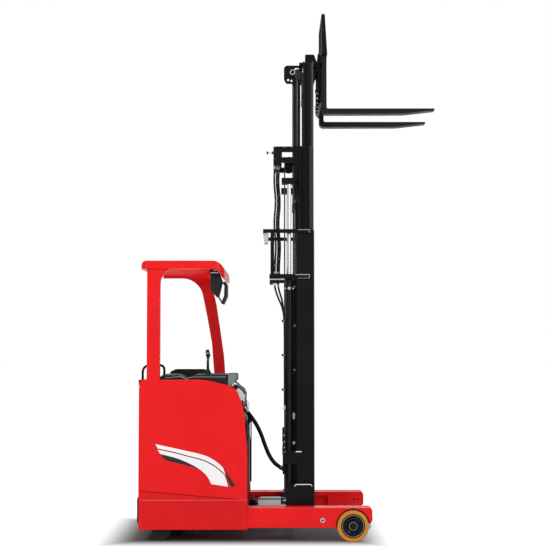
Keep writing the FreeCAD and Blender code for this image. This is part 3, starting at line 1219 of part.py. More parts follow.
# ---------------------------------------------------------------- fork carriage
def fork_carriage():
    """Side plates with their rollers, two cross bars and the chain anchor."""
    pieces = []
    inside = "carriage_half - carriage_wall"
    for name, side in SIDES.items():
        rear, front = "inner_rear + 18", "inner_front"
        outline = [(rear, "carriage_base"), (f"{front} - 8", "carriage_base"),
                   (f"{front} - 8", "carriage_base + 169"), (f"{front} + 14", "carriage_base + 249"),
                   ("hinge_place - 2", "hinge_height - 40"), ("hinge_place + 16", "hinge_height - 16"),
                   ("hinge_place + 16", "hinge_height + 16"), ("hinge_place - 2", "hinge_height + 34"),
                   (f"{front} + 10", "carriage_top"), (rear, "carriage_top")]
        pieces.append(plate(name + "_carriage_side", "y", outline,
                            across(side, inside, "carriage_half"), {4: "6", 8: "12", 9: "12"}))
        for mark, spot in (("low", "carriage_base + 40"), ("high", "inner_top - 50")):
            middle = "inner_rear + inner_depth / 2"
            pieces.append(rod(f"{name}_{mark}_roller", "y", (middle, spot),
                              across(side, "carriage_half", "inner_web - stage_wall / 2 - step_gap"),
                              "(inner_depth - 2 * stage_wall) / 2 - seat_gap"))
    span = (f"-({inside})", inside)
    low_bar = box("carriage_low_bar", ("inner_front - 28", "inner_front - 8"), span,
                  ("carriage_base", "carriage_base + 124"))
    high_bar = box("carriage_high_bar", ("inner_front - 12", "inner_front + 10"), span,
                   ("carriage_base + 264", "carriage_top - 4"))
    anchor = box("chain_anchor", ("free_place + chain_radius - 2", "inner_front - 28"), span,
                 ("carriage_base + 60", "carriage_base + 100"))
    body = fuse("carriage_body", *pieces, low_bar, high_bar, anchor)
    holes = rod("hinge_hole", "y", ("hinge_place", "hinge_height"),
                ("-carriage_half - 10", "carriage_half + 10"), "pin_radius + shaft_gap")
    node(cut("carriage_bored", body, holes), "fork_carriage")


def tilt_frame():
    """Frame that tilts on the carriage and guides the side shift."""
    x = ("tilt_rear", "tilt_front")
    near, far = "carriage_half + 4", "carriage_half + 4 + tilt_post"
    low, high = "fork_top + 47", "fork_top + 477"
    pieces = []
    for name, side in SIDES.items():
        pieces.append(rod(name + "_hinge_pin", "y", ("hinge_place", "hinge_height"),
                          across(side, "carriage_half - 40", "carriage_half + 22"), "pin_radius"))
        pieces.append(plate(name + "_ear", "y",
                            [("hinge_place - 20", "hinge_height - 20"), ("tilt_front", "hinge_height - 30"),
                             ("tilt_front", "hinge_height + 30"), ("hinge_place - 20", "hinge_height + 20")],
                            across(side, near, "carriage_half + 22"), {0: "14", 3: "14"}))
        pieces.append(box(name + "_tilt_post", x, across(side, near, far), (low, high)))
    for mark, base in (("low", low), ("high", f"{high} - guide_height")):
        pieces.append(box(f"{mark}_guide", x, (f"-({far})", far), (base, f"{base} + guide_height")))
    node(fuse("tilt_parts", *pieces), "tilt_frame")


def side_shift_frame():
    """Two fork bars joined by uprights, sliding across the tilt frame."""
    x = ("tilt_front + seat_gap", "shank_rear")
    low, low_top = "fork_top + 47", "fork_top + 47 + low_bar_height"
    high = "shank_top - high_bar_height"
    pieces = [box("low_fork_bar", x, ("-bar_half", "bar_half"), (low, low_top)),
              box("high_fork_bar", x, ("-bar_half", "bar_half"), (high, "shank_top"))]
    for name, side in SIDES.items():
        pieces.append(box(name + "_shift_post", x, across(side, "bar_half - 122", "bar_half - 102"),
                          (low_top, high)))
    node(fuse("shift_parts", *pieces), "side_shift_frame")


def fork(name, side):
    """Forged fork: shank, heel and a blade that tapers to its tip."""
    outline = [("shank_rear", "fork_base"), ("fork_end - 260", "fork_base + 2"),
               ("fork_end", "fork_top - fork_tip"), ("fork_end", "fork_top"),
               ("shank_front", "fork_top"), ("shank_front", "shank_top"), ("shank_rear", "shank_top")]
    body = plate(name + "_fork_bar", "y", outline,
                 across(side, "fork_offset - fork_width / 2", "fork_offset + fork_width / 2"),
                 {0: "38", 4: "14", 3: "6"})
    node(body, name + "_fork")


def backrest():
    """Load backrest: a welded frame of bars above the fork bars, thinner towards its top."""
    low, high = "shank_top", "backrest_top"
    half = "backrest_half"
    outline = [(f"-{half}", low), (half, low), (f"{half} - 60", high), (f"-{half} + 60", high)]
    windows = []
    for number in range(5):
        start = f"-{half} + 76 + {number} * (2 * {half} - 152 + 22) / 5"
        stop = f"{start} + (2 * {half} - 152 + 22) / 5 - 22"
        windows.append([(start, f"{low} + 30"), (stop, f"{low} + 30"), (stop, f"{high} - 30"),
                        (start, f"{high} - 30")])
    frame = plate("rest_frame", "x", outline, ("shank_rear", "shank_rear + backrest_depth + 10"),
                  {2: "30", 3: "30"}, windows)
    profile = plate("rest_profile", "y", [("shank_rear", low), ("shank_rear + backrest_depth + 9", low),
                                          ("shank_rear + backrest_depth - 9", high), ("shank_rear", high)],
                    (f"-{half} - 5", f"{half} + 5"))
    node(common("rest", frame, profile), "load_backrest")


chassis_frame()
for title, hand in SIDES.items():
    leg(title, hand)
    load_wheel(title, hand)
side_covers()
column_shell()
operator_bay()
front_section()
overhead_guard()
guard_fittings()
console()
steering()
drive_unit()
caster()
outer_mast()
mast_guard()
lift_cylinders()
reach_cylinder()
hose_tray()
middle_mast()
inner_mast()
free_lift()
chains()
hoses()
fork_carriage()
tilt_frame()
side_shift_frame()
for title, hand in SIDES.items():
    fork(title, hand)
backrest()

# ---------------------------------------------------------------- writing the sub-parts
doc.recompute()
for item in doc.Objects:
    if "Invalid" in item.State or "Error" in item.State:
        raise ValueError(f"{item.Name} failed: {item.State}")
for item in NODES:
    if item.Shape.isNull() or not item.Shape.isValid():
        raise ValueError(f"{item.Label} has no valid shape")
os.makedirs("parts", exist_ok=True)
for item in NODES:
    item.Shape.exportStep(f"parts/{item.Label}.step")
    print(f"{item.Label:24s} solids {len(item.Shape.Solids)} volume {item.Shape.Volume / 1e6:9.3f} l")
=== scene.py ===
"""The looks of the reach truck: added pieces, materials, camera, floor and light."""
import json
import math

import bmesh
import bpy
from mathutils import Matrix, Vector


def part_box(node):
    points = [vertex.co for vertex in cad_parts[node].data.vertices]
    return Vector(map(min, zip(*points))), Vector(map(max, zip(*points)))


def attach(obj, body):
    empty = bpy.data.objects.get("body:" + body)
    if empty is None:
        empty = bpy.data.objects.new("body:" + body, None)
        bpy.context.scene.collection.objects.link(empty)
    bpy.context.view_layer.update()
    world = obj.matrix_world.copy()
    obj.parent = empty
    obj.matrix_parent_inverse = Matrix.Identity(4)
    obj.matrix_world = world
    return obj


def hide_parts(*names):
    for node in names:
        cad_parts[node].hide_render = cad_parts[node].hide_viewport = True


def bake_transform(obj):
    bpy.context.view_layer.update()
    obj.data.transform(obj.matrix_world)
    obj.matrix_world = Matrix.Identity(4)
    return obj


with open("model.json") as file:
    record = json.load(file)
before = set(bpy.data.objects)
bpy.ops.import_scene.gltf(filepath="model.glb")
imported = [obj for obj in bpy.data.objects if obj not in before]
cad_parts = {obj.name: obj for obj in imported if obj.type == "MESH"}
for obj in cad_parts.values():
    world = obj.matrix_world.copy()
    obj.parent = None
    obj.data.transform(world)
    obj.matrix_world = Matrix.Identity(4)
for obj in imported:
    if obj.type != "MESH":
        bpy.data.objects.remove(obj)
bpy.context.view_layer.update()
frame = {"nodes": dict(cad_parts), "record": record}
nodes = frame["nodes"]
scene = bpy.context.scene
scene.view_settings.view_transform = "Standard"

# Metres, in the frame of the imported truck: +X forward, +Y to its left, +Z up.
SIDES = {"right": -1, "left": 1}


# ---- camera
CAMERA_PLACE = (-0.098, -10.5, 1.62)
CAMERA_TILT = 2.87
camera_data = bpy.data.cameras.new("camera")
camera_data.sensor_width = 36
camera_data.lens = 80.7
camera_data.clip_end = 200
camera = bpy.data.objects.new("camera", camera_data)
camera.location = CAMERA_PLACE
camera.rotation_euler = (math.radians(90 + CAMERA_TILT), 0, 0)
scene.collection.objects.link(camera)
scene.camera = camera


# ---- making shapes
def at(axis, first, second, along):
    """A point from its place along an axis and its places on the two other axes, in order."""
    spots = [first, second]
    spots.insert("xyz".index(axis), along)
    return tuple(spots)


class Shape:
    """Closed forms collected into one mesh."""

    def __init__(self):
        self.points = []
        self.faces = []

    def loft(self, rings, closed=False):
        """Rings of points joined one to the next, closed at both ends or into a loop."""
        first = len(self.points)
        count = len(rings[0])
        for ring in rings:
            self.points += ring
        for step in range(len(rings) if closed else len(rings) - 1):
            here = first + step * count
            there = first + (step + 1) % len(rings) * count
            for corner in range(count):
                after = (corner + 1) % count
                self.faces.append((here + corner, here + after, there + after, there + corner))
        if not closed:
            last = first + (len(rings) - 1) * count
            self.faces.append(tuple(range(first, first + count)))
            self.faces.append(tuple(range(last, last + count)))
        return self

    def plate(self, outline, axis, low, high):
        """An outline extruded along an axis; across y it holds x and z."""
        return self.loft([[at(axis, u, v, level) for u, v in outline] for level in (low, high)])

    def block(self, first, second):
        """A box between two opposite corners."""
        low, high = zip(*(sorted(pair) for pair in zip(first, second)))
        return self.plate([(low[0], low[1]), (high[0], low[1]), (high[0], high[1]), (low[0], high[1])],
                          "z", low[2], high[2])

    def lathe(self, axis, place, profile, steps, outward=1, closed=False):
        """A form turned about an axis through a place, from radius and how far out it lies."""
        around = [turn * math.tau / steps for turn in range(steps)]
        middle = list(place)
        level = middle.pop("xyz".index(axis))
        return self.loft([[at(axis, middle[0] + radius * math.cos(angle),
                              middle[1] + radius * math.sin(angle), level + outward * out)
                           for angle in around] for radius, out in profile], closed)

    def ring(self, place, outward, outer, inner, low, high, steps):
        """A flat ring about y between two radii, from low to high out of a place."""
        return self.lathe("y", place, [(outer, low), (outer, high), (inner, high), (inner, low)],
                          steps, outward, closed=True)

    def sweep(self, path, radii, sides=10, closed=False):
        """A round bar along a path, its radius one number or one for each point."""
        spots = [Vector(point) for point in path]
        if not isinstance(radii, (list, tuple)):
            radii = [radii] * len(spots)
        normal = None
        rings = []
        for index, (spot, radius) in enumerate(zip(spots, radii)):
            before = spots[index - 1 if closed else max(index - 1, 0)]
            after = spots[(index + 1) % len(spots) if closed else min(index + 1, len(spots) - 1)]
            ahead = (after - before).normalized()
            if normal is None:
                normal = ahead.orthogonal().normalized()
            normal = (normal - ahead * normal.dot(ahead)).normalized()
            across = ahead.cross(normal)
            rings.append([tuple(spot + (normal * math.cos(angle) + across * math.sin(angle)) * radius)
                          for angle in (turn * math.tau / sides for turn in range(sides))])
        return self.loft(rings, closed)

    def bolt(self, place, outward, size):
        """A hexagon bolt head on its washer, standing out along y."""
        washer, head = [(1.12, 0.0), (1.12, 0.16)], [(0.88, 0.16), (0.88, 0.62), (0.70, 0.72)]
        for profile, steps in ((washer, 16), (head, 6)):
            self.lathe("y", place, [(size * wide, size * out) for wide, out in profile], steps, outward)

    def bolt_circle(self, place, outward, count, radius, start, size):
        """Bolts spaced evenly round an axle along y."""
        x, y, z = place
        for turn in range(count):
            angle = math.tau * turn / count + start
            self.bolt((x + radius * math.cos(angle), y, z + radius * math.sin(angle)), outward, size)

    def mesh(self, name):
        """The forms as one smooth-shaded mesh with sharp edges kept."""
        data = bpy.data.meshes.new(name)
        data.from_pydata(self.points, [], self.faces)
        work = bmesh.new()
        work.from_mesh(data)
        bmesh.ops.recalc_face_normals(work, faces=work.faces)
        work.to_mesh(data)
        work.free()
        data.shade_smooth()
        data.set_sharp_from_angle(angle=math.radians(32))
        return data


PIECES = []


def piece(name, shape, slot, body=None, bevel=0.0, finish=None):
    """Turn a shape into an object that rides on a body and takes its finish from a slot."""
    thing = bpy.data.objects.new(name, shape.mesh(name))
    scene.collection.objects.link(thing)
    if bevel:
        edge = thing.modifiers.new("edges", "BEVEL")
        edge.width = bevel
        edge.segments = 2
        edge.angle_limit = math.radians(40)
        edge.harden_normals = True
    if body:
        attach(thing, body)
    PIECES.append((thing, finish or slot))
    return thing


def shapes(count):
    """Several empty shapes."""
    return [Shape() for number in range(count)]


def in_plane(y, spots):
    """The points at y of places given as x and z."""
    return [(x, y, z) for x, z in spots]


def axle(node):
    """The x and z of the middle of a node."""
    low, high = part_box(node)
    return (low.x + high.x) / 2, (low.z + high.z) / 2


def outer_face(node, sign):
    """The y of a node's outer face on the right (-1) or left (1) side."""
    low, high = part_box(node)
    return low.y if sign < 0 else high.y


def curve_through(points, steps=8):
    """A smooth line through points in a plane, with its first and last point as ends."""
    ends = [points[0], *points, points[-1]]
    line = []
    for before, here, there, after in zip(ends, ends[1:], ends[2:], ends[3:]):
        for step in range(steps):
            t = step / steps
            line.append(tuple(0.5 * (2 * b + (c - a) * t + (2 * a - 5 * b + 4 * c - d) * t * t
                                     + (3 * b - a - 3 * c + d) * t ** 3)
                              for a, b, c, d in zip(before, here, there, after)))
    return line + [tuple(points[-1])]


# ---- hoses
def smooth_line(points):
    """The points of the NURBS line that a route gives."""
    curve = bpy.data.curves.new("route", "CURVE")
    curve.dimensions = "3D"
    curve.resolution_u = 10
    spline = curve.splines.new("NURBS")
    spline.points.add(len(points) - 1)
    for spot, point in zip(spline.points, points):
        spot.co = (*point, 1)
    spline.order_u = 3
    spline.use_endpoint_u = True
    thing = bpy.data.objects.new("route", curve)
    line = bpy.data.meshes.new_from_object(thing)
    path = [tuple(vertex.co) for vertex in line.vertices]
    bpy.data.objects.remove(thing)
    bpy.data.meshes.remove(line)
    bpy.data.curves.remove(curve)
    return path


def hose(name, points, radius, bodies, fittings, stands_for=None, sides=12):
    """A hose along its route, on one body, or left in place between the two that hold its ends.

    fittings are the shapes that take the sleeves of its first and last end, or None where it has none. The
    hose is as long as its route.
    """
    path = smooth_line(points)
    shape = Shape().sweep(path, radius, sides)
    thing = piece(name, shape, "black_rubber", bodies[0] if len(bodies) == 1 else None)
    if len(bodies) == 2:
        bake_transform(thing)
    if stands_for:
        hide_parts(stands_for)
    for fitting, ends in zip(fittings, (path[:2], path[:-3:-1])):
        if fitting:
            ferrule(fitting, *map(Vector, ends), radius)
    return path


def ferrule(shape, start, inner, radius):
    """The crimped sleeve and the union nut on a hose's end, from there to a point within."""
    ahead = (inner - start).normalized()
    shape.sweep([start + ahead * along * radius for along in (0, 0.5, 0.7, 1.4, 1.6, 2.3, 2.5, 3.2)],
                [radius * share for share in (1.2, 1.3, 1.14, 1.3, 1.14, 1.3, 1.14, 1.05)], 14)
    shape.sweep([start - ahead * radius * 0.9, start], radius * 1.35, 6)


# The rear hose's route as x and z; the front one lies 8 mm ahead of it and above it.
REACH_ROUTE = [(-0.359, 1.038), (-0.290, 0.955), (-0.230, 0.849), (-0.192, 0.736),
               (-0.148, 0.633), (-0.090, 0.568), (-0.036, 0.544)]
REACH_RADIUS = 0.012
MAST_RADIUS = 0.008
# The hoses beside the carriage chains and the tilt frame.
THIN_RADIUS = 0.0055
# Each mast hose's place at rest, and how far its route swings from it at heights above its foot.
MAST_PLACES = [(-0.108, -0.284), (-0.088, -0.262), (-0.072, -0.240)]
MAST_SWING = [(0.0, 0.0), (0.0, 0.08), (0.012, 0.25), (-0.009, 0.42), (0.010, 0.60), (-0.006, 0.76),
              (-0.003, 0.85)]


def reach_hoses():
    """Two hoses from the cowl to the port block on the mast."""
    start_fittings, end_fittings = shapes(2)
    for number, (y, step) in enumerate(((-0.288, 0.0), (-0.312, 0.008))):
        points = [(x + step, y, z + step) for x, z in REACH_ROUTE]
        hose(f"reach_hose_{number}", points, REACH_RADIUS, ("chassis", "outer_mast"),
             (start_fittings, end_fittings), "reach_hoses", sides=14)
    piece("reach_hose_start_fittings", start_fittings, "zinc_steel", "chassis")
    piece("reach_hose_end_fittings", end_fittings, "chain_steel", "outer_mast")


def mast_route(x, y):
    """The points of a mast hose's route over the place of its foot."""
    low, high = (corner.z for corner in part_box("mast_hoses"))
    return [(x + swing, y, low + height) for swing, height in MAST_SWING] + [(x, y, high)]


def mast_hoses():
    """Three hoses between the guard's manifold and the middle mast's top frame."""
    foot_fittings, head_fittings = shapes(2)
    for number, place in enumerate(MAST_PLACES):
        hose(f"mast_hose_{number}", mast_route(*place), MAST_RADIUS, ("outer_mast", "middle_mast"),
             (foot_fittings, head_fittings), "mast_hoses", sides=14)
    piece("mast_hose_foot_fittings", foot_fittings, "zinc_steel", "outer_mast")
    piece("mast_hose_head_fittings", head_fittings, "zinc_steel", "middle_mast")


# ---- chains
LINK_PITCH = 0.0159
LINK_PLATE = 0.0024
CHAIN_WIDTH = 0.022


def link_outline(x, z, half):
    """One leaf plate seen from its side: round at both pins and narrow between them."""
    shares = [(0.55, -0.33), (1.0, 0.0), (0.92, 0.28), (0.62, 0.5), (0.92, 0.72), (1.0, 1.0),
              (0.55, 1.33)]
    spots = [(half * wide, LINK_PITCH * high) for wide, high in shares]
    return [(x + u, z + v) for u, v in spots] + [(x - u, z + v) for u, v in reversed(spots)]


def leaf_chain(node):
    """Two leaf chains in a node's place."""
    low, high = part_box(node)
    x = (low.x + high.x) / 2
    half = (high.x - low.x) / 2
    count = int((high.z - low.z - 0.010) / LINK_PITCH)
    pitch_start = low.z + (high.z - low.z - count * LINK_PITCH) / 2
    shape = Shape()
    for near in (low.y, high.y - CHAIN_WIDTH):
        for number in range(count):
            z = pitch_start + number * LINK_PITCH
            rows = (0.0, 0.0098, 0.0196) if number % 2 else (0.0049, 0.0147)
            for row in rows:
                shape.plate(link_outline(x, z, half), "y", near + row, near + row + LINK_PLATE)
            shape.lathe("y", (x, 0, z), [(0.0023, near - 0.0006), (0.0023, near + CHAIN_WIDTH + 0.0006)],
                        8)
    thing = piece(node + "_links", shape, "chain_steel")
    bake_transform(thing)
    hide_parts(node)


# ---- mast fittings
# The lift barrels' centre lines.
BARREL_X = 0.010
BARREL_OFFSET = 0.360


def barrel_pipes():
    """Steel pipes beside each lift barrel, on a strip held by clamps."""
    for side, sign in SIDES.items():
        strip, pipes, clamps, bolts = shapes(4)
        strip.plate([(0.0395, 0.24), (0.0690, 0.24), (0.0690, 2.08), (0.0395, 2.08)], "y",
                    sign * 0.3420, sign * 0.3450)
        for x, y, radius in ((0.0485, 0.352, 0.0060), (0.0620, 0.351, 0.0045)):
            pipes.sweep([(x, sign * y, 0.215), (x, sign * y, 2.100)], radius, 12)
        for z in (0.36, 0.77, 0.99, 1.36, 1.72, 2.04):
            clamps.block((0.0400, sign * 0.3452, z - 0.014), (0.0690, sign * 0.3640, z + 0.014))
            bolts.bolt((0.0550, sign * 0.3640, z), sign, 0.0055)
        piece(f"{side}_pipe_strip", strip, "mast_black", "outer_mast", 0.0008)
        piece(f"{side}_pipes", pipes, "cylinder_black", "outer_mast")
        piece(f"{side}_pipe_clamps", clamps, "black_plastic", "outer_mast", 0.002)
        piece(f"{side}_pipe_bolts", bolts, "zinc_steel", "outer_mast")


def barrel_glands():
    """The gland nut, its spanner flats and the port at each lift barrel's top and foot."""
    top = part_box("lift_barrels")[1].z
    profile = [(0.0285, -0.050), (0.0300, -0.047), (0.0300, -0.030), (0.0288, -0.028), (0.0288, -0.018),
               (0.0300, -0.016), (0.0300, 0.001), (0.0270, 0.004), (0.0185, 0.004), (0.0185, -0.002),
               (0.0240, -0.040)]
    for side, sign in SIDES.items():
        gland, ports = shapes(2)
        y = sign * BARREL_OFFSET
        gland.lathe("z", (BARREL_X, y, top), profile, 36, closed=True)
        ports.lathe("x", (0, y, 0.300), [(0.010, -0.0300), (0.010, -0.0185), (0.013, -0.0185),
                                         (0.013, -0.0160)], 6)
        ports.lathe("x", (0, y, 0.300), [(0.0065, -0.0430), (0.0065, -0.0295)], 12)
        piece(f"{side}_gland", gland, "cylinder_black", "outer_mast")
        piece(f"{side}_port", ports, "zinc_steel", "outer_mast")


def guard_fittings():
    """The switch box on the mast guard."""
    case, screws = shapes(2)
    near = outer_face("mast_guard", -1)
    case.plate([(-0.192, 2.384), (-0.163, 2.384), (-0.158, 2.470), (-0.164, 2.477), (-0.196, 2.477),
                (-0.201, 2.470)], "y", near + 0.004, near + 0.050)
    for x in (-0.187, -0.168):
        for z in (2.392, 2.466):
            screws.bolt((x, near + 0.004, z), -1, 0.0032)
    piece("guard_box", case, "zinc_steel", "outer_mast", 0.003, "pale_paint")
    piece("guard_box_screws", screws, "hub_black", "outer_mast")


# ---- cushion
VOXEL = 0.006
PRESSURE = 4
PRESSURE_FRAMES = 20
# How far a point may swell, and the sewn channels' depth, width and distance from the back.
SWELL_CAP = 0.022
SEAM_DEPTH = 0.006
SEAM_WIDTH = 0.007
SEAM_CLEAR = 0.020


def bake(thing):
    """Put what the modifiers make into the mesh and drop them."""
    graph = bpy.context.evaluated_depsgraph_get()
    mesh = bpy.data.meshes.new_from_object(thing.evaluated_get(graph))
    thing.modifiers.clear()
    thing.data = mesh


def rounded(low, high, radius, steps=6):
    """A rectangle with round corners, from its lowest and highest corners in a plane."""
    corners = [(high[0] - radius, high[1] - radius, 0), (low[0] + radius, high[1] - radius, 90),
               (low[0] + radius, low[1] + radius, 180), (high[0] - radius, low[1] + radius, 270)]
    return [(u + radius * math.cos(math.radians(start + step * 90 / steps)),
             v + radius * math.sin(math.radians(start + step * 90 / steps)))
            for u, v, start in corners for step in range(steps + 1)]


def backrest_cushion():
    """The padded side rest: filled fabric with two sewn channels and a piped edge."""
    low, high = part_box("backrest_pad")
    outline = rounded((low.x + 0.006, low.z + 0.006), (high.x - 0.006, high.z - 0.006), 0.045)
    shape = Shape().plate(outline, "y", low.y + 0.014, high.y - 0.001)
    thing = piece("backrest_cushion", shape, "pad_leather", "chassis")
    remesh = thing.modifiers.new("remesh", "REMESH")
    remesh.mode = "VOXEL"
    remesh.voxel_size = VOXEL
    bake(thing)
    rest = [vertex.co.copy() for vertex in thing.data.vertices]
    cloth = thing.modifiers.new("cloth", "CLOTH")
    cloth.settings.use_pressure = True
    cloth.settings.uniform_pressure_force = PRESSURE
    cloth.settings.effector_weights.gravity = 0
    for number in range(1, PRESSURE_FRAMES + 1):
        scene.frame_set(number)
    bake(thing)
    scene.frame_set(1)
    for vertex, place in zip(thing.data.vertices, rest):
        move = vertex.co - place
        if move.length > SWELL_CAP:
            vertex.co = place + move * (SWELL_CAP / move.length)
    subdivision = thing.modifiers.new("smooth", "SUBSURF")
    subdivision.levels = 1
    subdivision.render_levels = 1
    bake(thing)
    third = (high.z - low.z) / 3
    for vertex in thing.data.vertices:
        if vertex.co.y < high.y - SEAM_CLEAR:
            for seam in (low.z + third, high.z - third):
                vertex.co.y += SEAM_DEPTH * math.exp(-((vertex.co.z - seam) / SEAM_WIDTH) ** 2)
        vertex.co.y = min(vertex.co.y, high.y - 0.0002)
    thing.data.shade_smooth()
    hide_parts("backrest_pad")
    rim = rounded((low.x + 0.002, low.z + 0.002), (high.x - 0.002, high.z - 0.002), 0.047)
    piping = Shape().sweep(in_plane(high.y - 0.009, rim), 0.0035, 8, closed=True)
    piece("backrest_piping", piping, "black_rubber", "chassis")


# ---- side covers
def stripe(name, upper, lower, finish, lift=0.0006):
    """A thin coloured band on the right cover between two lines given from its lower rear corner."""
    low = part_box("right_side_cover")[0]
    outline = [(low.x + u, low.z + v) for u, v in [*upper, *reversed(lower)]]
    shape = Shape().plate(outline, "y", low.y - lift, low.y + 0.0010)
    piece(name, shape, "red_paint", "chassis", finish=finish)


def side_stripes():
    """The white sweep with its dark red line, its grey shade below and its grey tail."""
    top = curve_through([(0.132, 0.445), (0.274, 0.414), (0.492, 0.365), (0.594, 0.322),
                         (0.670, 0.258), (0.690, 0.199)])
    line = curve_through([(0.151, 0.406), (0.285, 0.378), (0.397, 0.348), (0.510, 0.318),
                          (0.594, 0.278), (0.655, 0.230), (0.690, 0.190), (0.714, 0.112)])
    line_upper = [(u + 0.0018, v + 0.0038) for u, v in line]
    line_lower = [(u - 0.0018, v - 0.0038) for u, v in line]
    middle = [spot for spot in line_upper if spot[0] < 0.688]
    stripe("stripe_upper", top, middle, "stripe_white")
    stripe("stripe_line", line_upper, line_lower, "stripe_line", 0.0008)
    bottom = curve_through([(0.172, 0.367), (0.318, 0.328), (0.453, 0.266), (0.538, 0.199),
                            (0.579, 0.129)])
    stripe("stripe_lower", line_lower, bottom, "stripe_white")
    grey_top = curve_through([(0.176, 0.3655), (0.318, 0.3265), (0.453, 0.2645), (0.538, 0.1975)])
    grey_low = curve_through([(0.175, 0.363), (0.218, 0.317), (0.318, 0.292), (0.464, 0.252),
                              (0.537, 0.1965)])
    stripe("stripe_grey", grey_top, grey_low, "stripe_grey")
    sliver_right = curve_through([(0.672, 0.258), (0.720, 0.190), (0.773, 0.109)])
    sliver_left = curve_through([(0.672, 0.256), (0.690, 0.210), (0.734, 0.109)])
    stripe("stripe_sliver", sliver_right, sliver_left, "stripe_grey")


# ---- hoses fixed to one body
def carriage_hoses():
    """A hose beside each rear carriage chain, drawn tight over the free-lift head with it."""
    low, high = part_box("carriage_chain_rear")
    ends = Shape()
    for side, sign in SIDES.items():
        x, y = high.x + 0.0065, sign * 0.150
        hose(f"{side}_carriage_hose", [(x, y, low.z), (x, y, high.z)], THIN_RADIUS,
             ("inner_mast", "free_lift"), (None, ends))
    piece("carriage_hose_ends", ends, "zinc_steel", "free_lift")


def guard_hoses():
    """Hoses from the guard's manifold down the back of the right lift barrel."""
    ends = Shape()
    for number, (start, low) in enumerate((((-0.112, 2.070), -0.0275), ((-0.082, 2.062), -0.0265))):
        y = -0.378 + 0.020 * number
        points = [(start[0], y, start[1]), (start[0] + 0.004, y, start[1] - 0.040),
                  (start[0] + 0.034, y, start[1] - 0.130), (low - 0.014, y, 1.865),
                  (low, y, 1.740), (low - 0.001, y, 1.420), (low, y, 1.045)]
        hose(f"guard_hose_{number}", points, MAST_RADIUS, ("outer_mast",), (ends, ends))
    piece("guard_hose_ends", ends, "zinc_steel", "outer_mast")
    clips, screws = shapes(2)
    for z in (1.20, 1.48, 1.76):
        clips.block((-0.052, -0.388, z - 0.009), (-0.016, -0.350, z + 0.009))
        screws.bolt((-0.034, -0.388, z), -1, 0.0045)
    piece("guard_hose_clips", clips, "black_plastic", "outer_mast", 0.002)
    piece("guard_hose_screws", screws, "zinc_steel", "outer_mast")


def guard_details():
    """A strip, a manifold with its fittings, pale lines along the guard bars' edges that paint their
    highlights, and a clamp with bolts on the right lift barrel.
    """
    near = outer_face("mast_guard", -1)
    strip, fittings, highlight_lines, bolts, clamp = shapes(5)
    strip.block((-0.150, near + 0.002, 2.094), (-0.028, near + 0.020, 2.1025))
    for x, y, z in ((-0.112, -0.378, 2.078), (-0.082, -0.358, 2.070)):
        fittings.lathe("z", (x, y, z), [(0.0125, -0.010), (0.0125, 0.006), (0.0095, 0.008),
                                        (0.0095, 0.014), (0.0125, 0.016), (0.0125, 0.026)], 6)
    fittings.block((-0.150, -0.392, 2.056), (-0.124, -0.340, 2.0935))
    fittings.block((-0.150, -0.392, 2.082), (-0.062, -0.340, 2.0935))
    # Painted highlights: thin pale lines along the edges of the guard's bars.
    for x, z_low, z_high in ((0.058, 2.1335, 2.1405), (0.078, 2.1060, 2.1090), (0.171, 2.1080, 2.1345),
                             (0.080, 2.5020, 2.5075), (0.171, 2.4810, 2.5030)):
        highlight_lines.block((x, near - 0.0012, z_low), (0.177, near + 0.003, z_high))
    clamp.lathe("z", (BARREL_X, -BARREL_OFFSET, 0),
                [(0.0292, 2.006), (0.0335, 2.008), (0.0335, 2.040), (0.0292, 2.042)], 36, closed=True)
    clamp.block((-0.032, -0.402, 2.008), (0.052, -0.388, 2.042))
    for x, size in ((-0.022, 0.0065), (0.010, 0.0125), (0.042, 0.0065)):
        bolts.bolt((x, -0.402, 2.025), -1, size)
    piece("guard_strip", strip, "zinc_steel", "outer_mast", 0.001, "pale_paint")
    piece("guard_manifold", fittings, "black_plastic", "outer_mast", 0.001)
    piece("guard_bar_lines", highlight_lines, "zinc_steel", "outer_mast", 0.001, "pale_trim")
    piece("barrel_clamp_bolts", bolts, "zinc_steel", "outer_mast", finish="pale_paint")
    piece("barrel_clamp", clamp, "mast_black", "outer_mast", 0.001)


def top_frame_details():
    """The knob and the bolts on the middle mast's top frame, and the ring on the inner mast's head."""
    low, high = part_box("middle_top_frame")
    knob, stem, bolts = shapes(3)
    z = low.z + (high.z - low.z) * 0.83
    y = -0.330
    stem.lathe("x", (low.x, y, z), [(0.0045, -0.048), (0.0045, 0.002)], 14)
    knob.lathe("x", (low.x, y, z), [(0.007, -0.056), (0.012, -0.054), (0.012, -0.044),
                                    (0.007, -0.042)], 18)
    knob.lathe("x", (low.x, y, z), [(0.013, -0.012), (0.013, -0.0005)], 6)
    for x, z in ((-0.105, 3.185), (-0.030, 3.185), (0.035, 3.185), (-0.105, 3.090)):
        bolts.bolt((x, low.y, z), -1, 0.0062)
    piece("top_frame_stem", stem, "zinc_steel", "middle_mast")
    piece("top_frame_knob", knob, "black_plastic", "middle_mast", 0.0006)
    piece("top_frame_bolts", bolts, "chain_steel", "middle_mast")
    ring = Shape().ring((0.040, 0, 3.836), 1, 0.022, 0.015, -0.272, -0.2685, 28)
    piece("inner_head_ring", ring, "zinc_steel", "inner_mast")


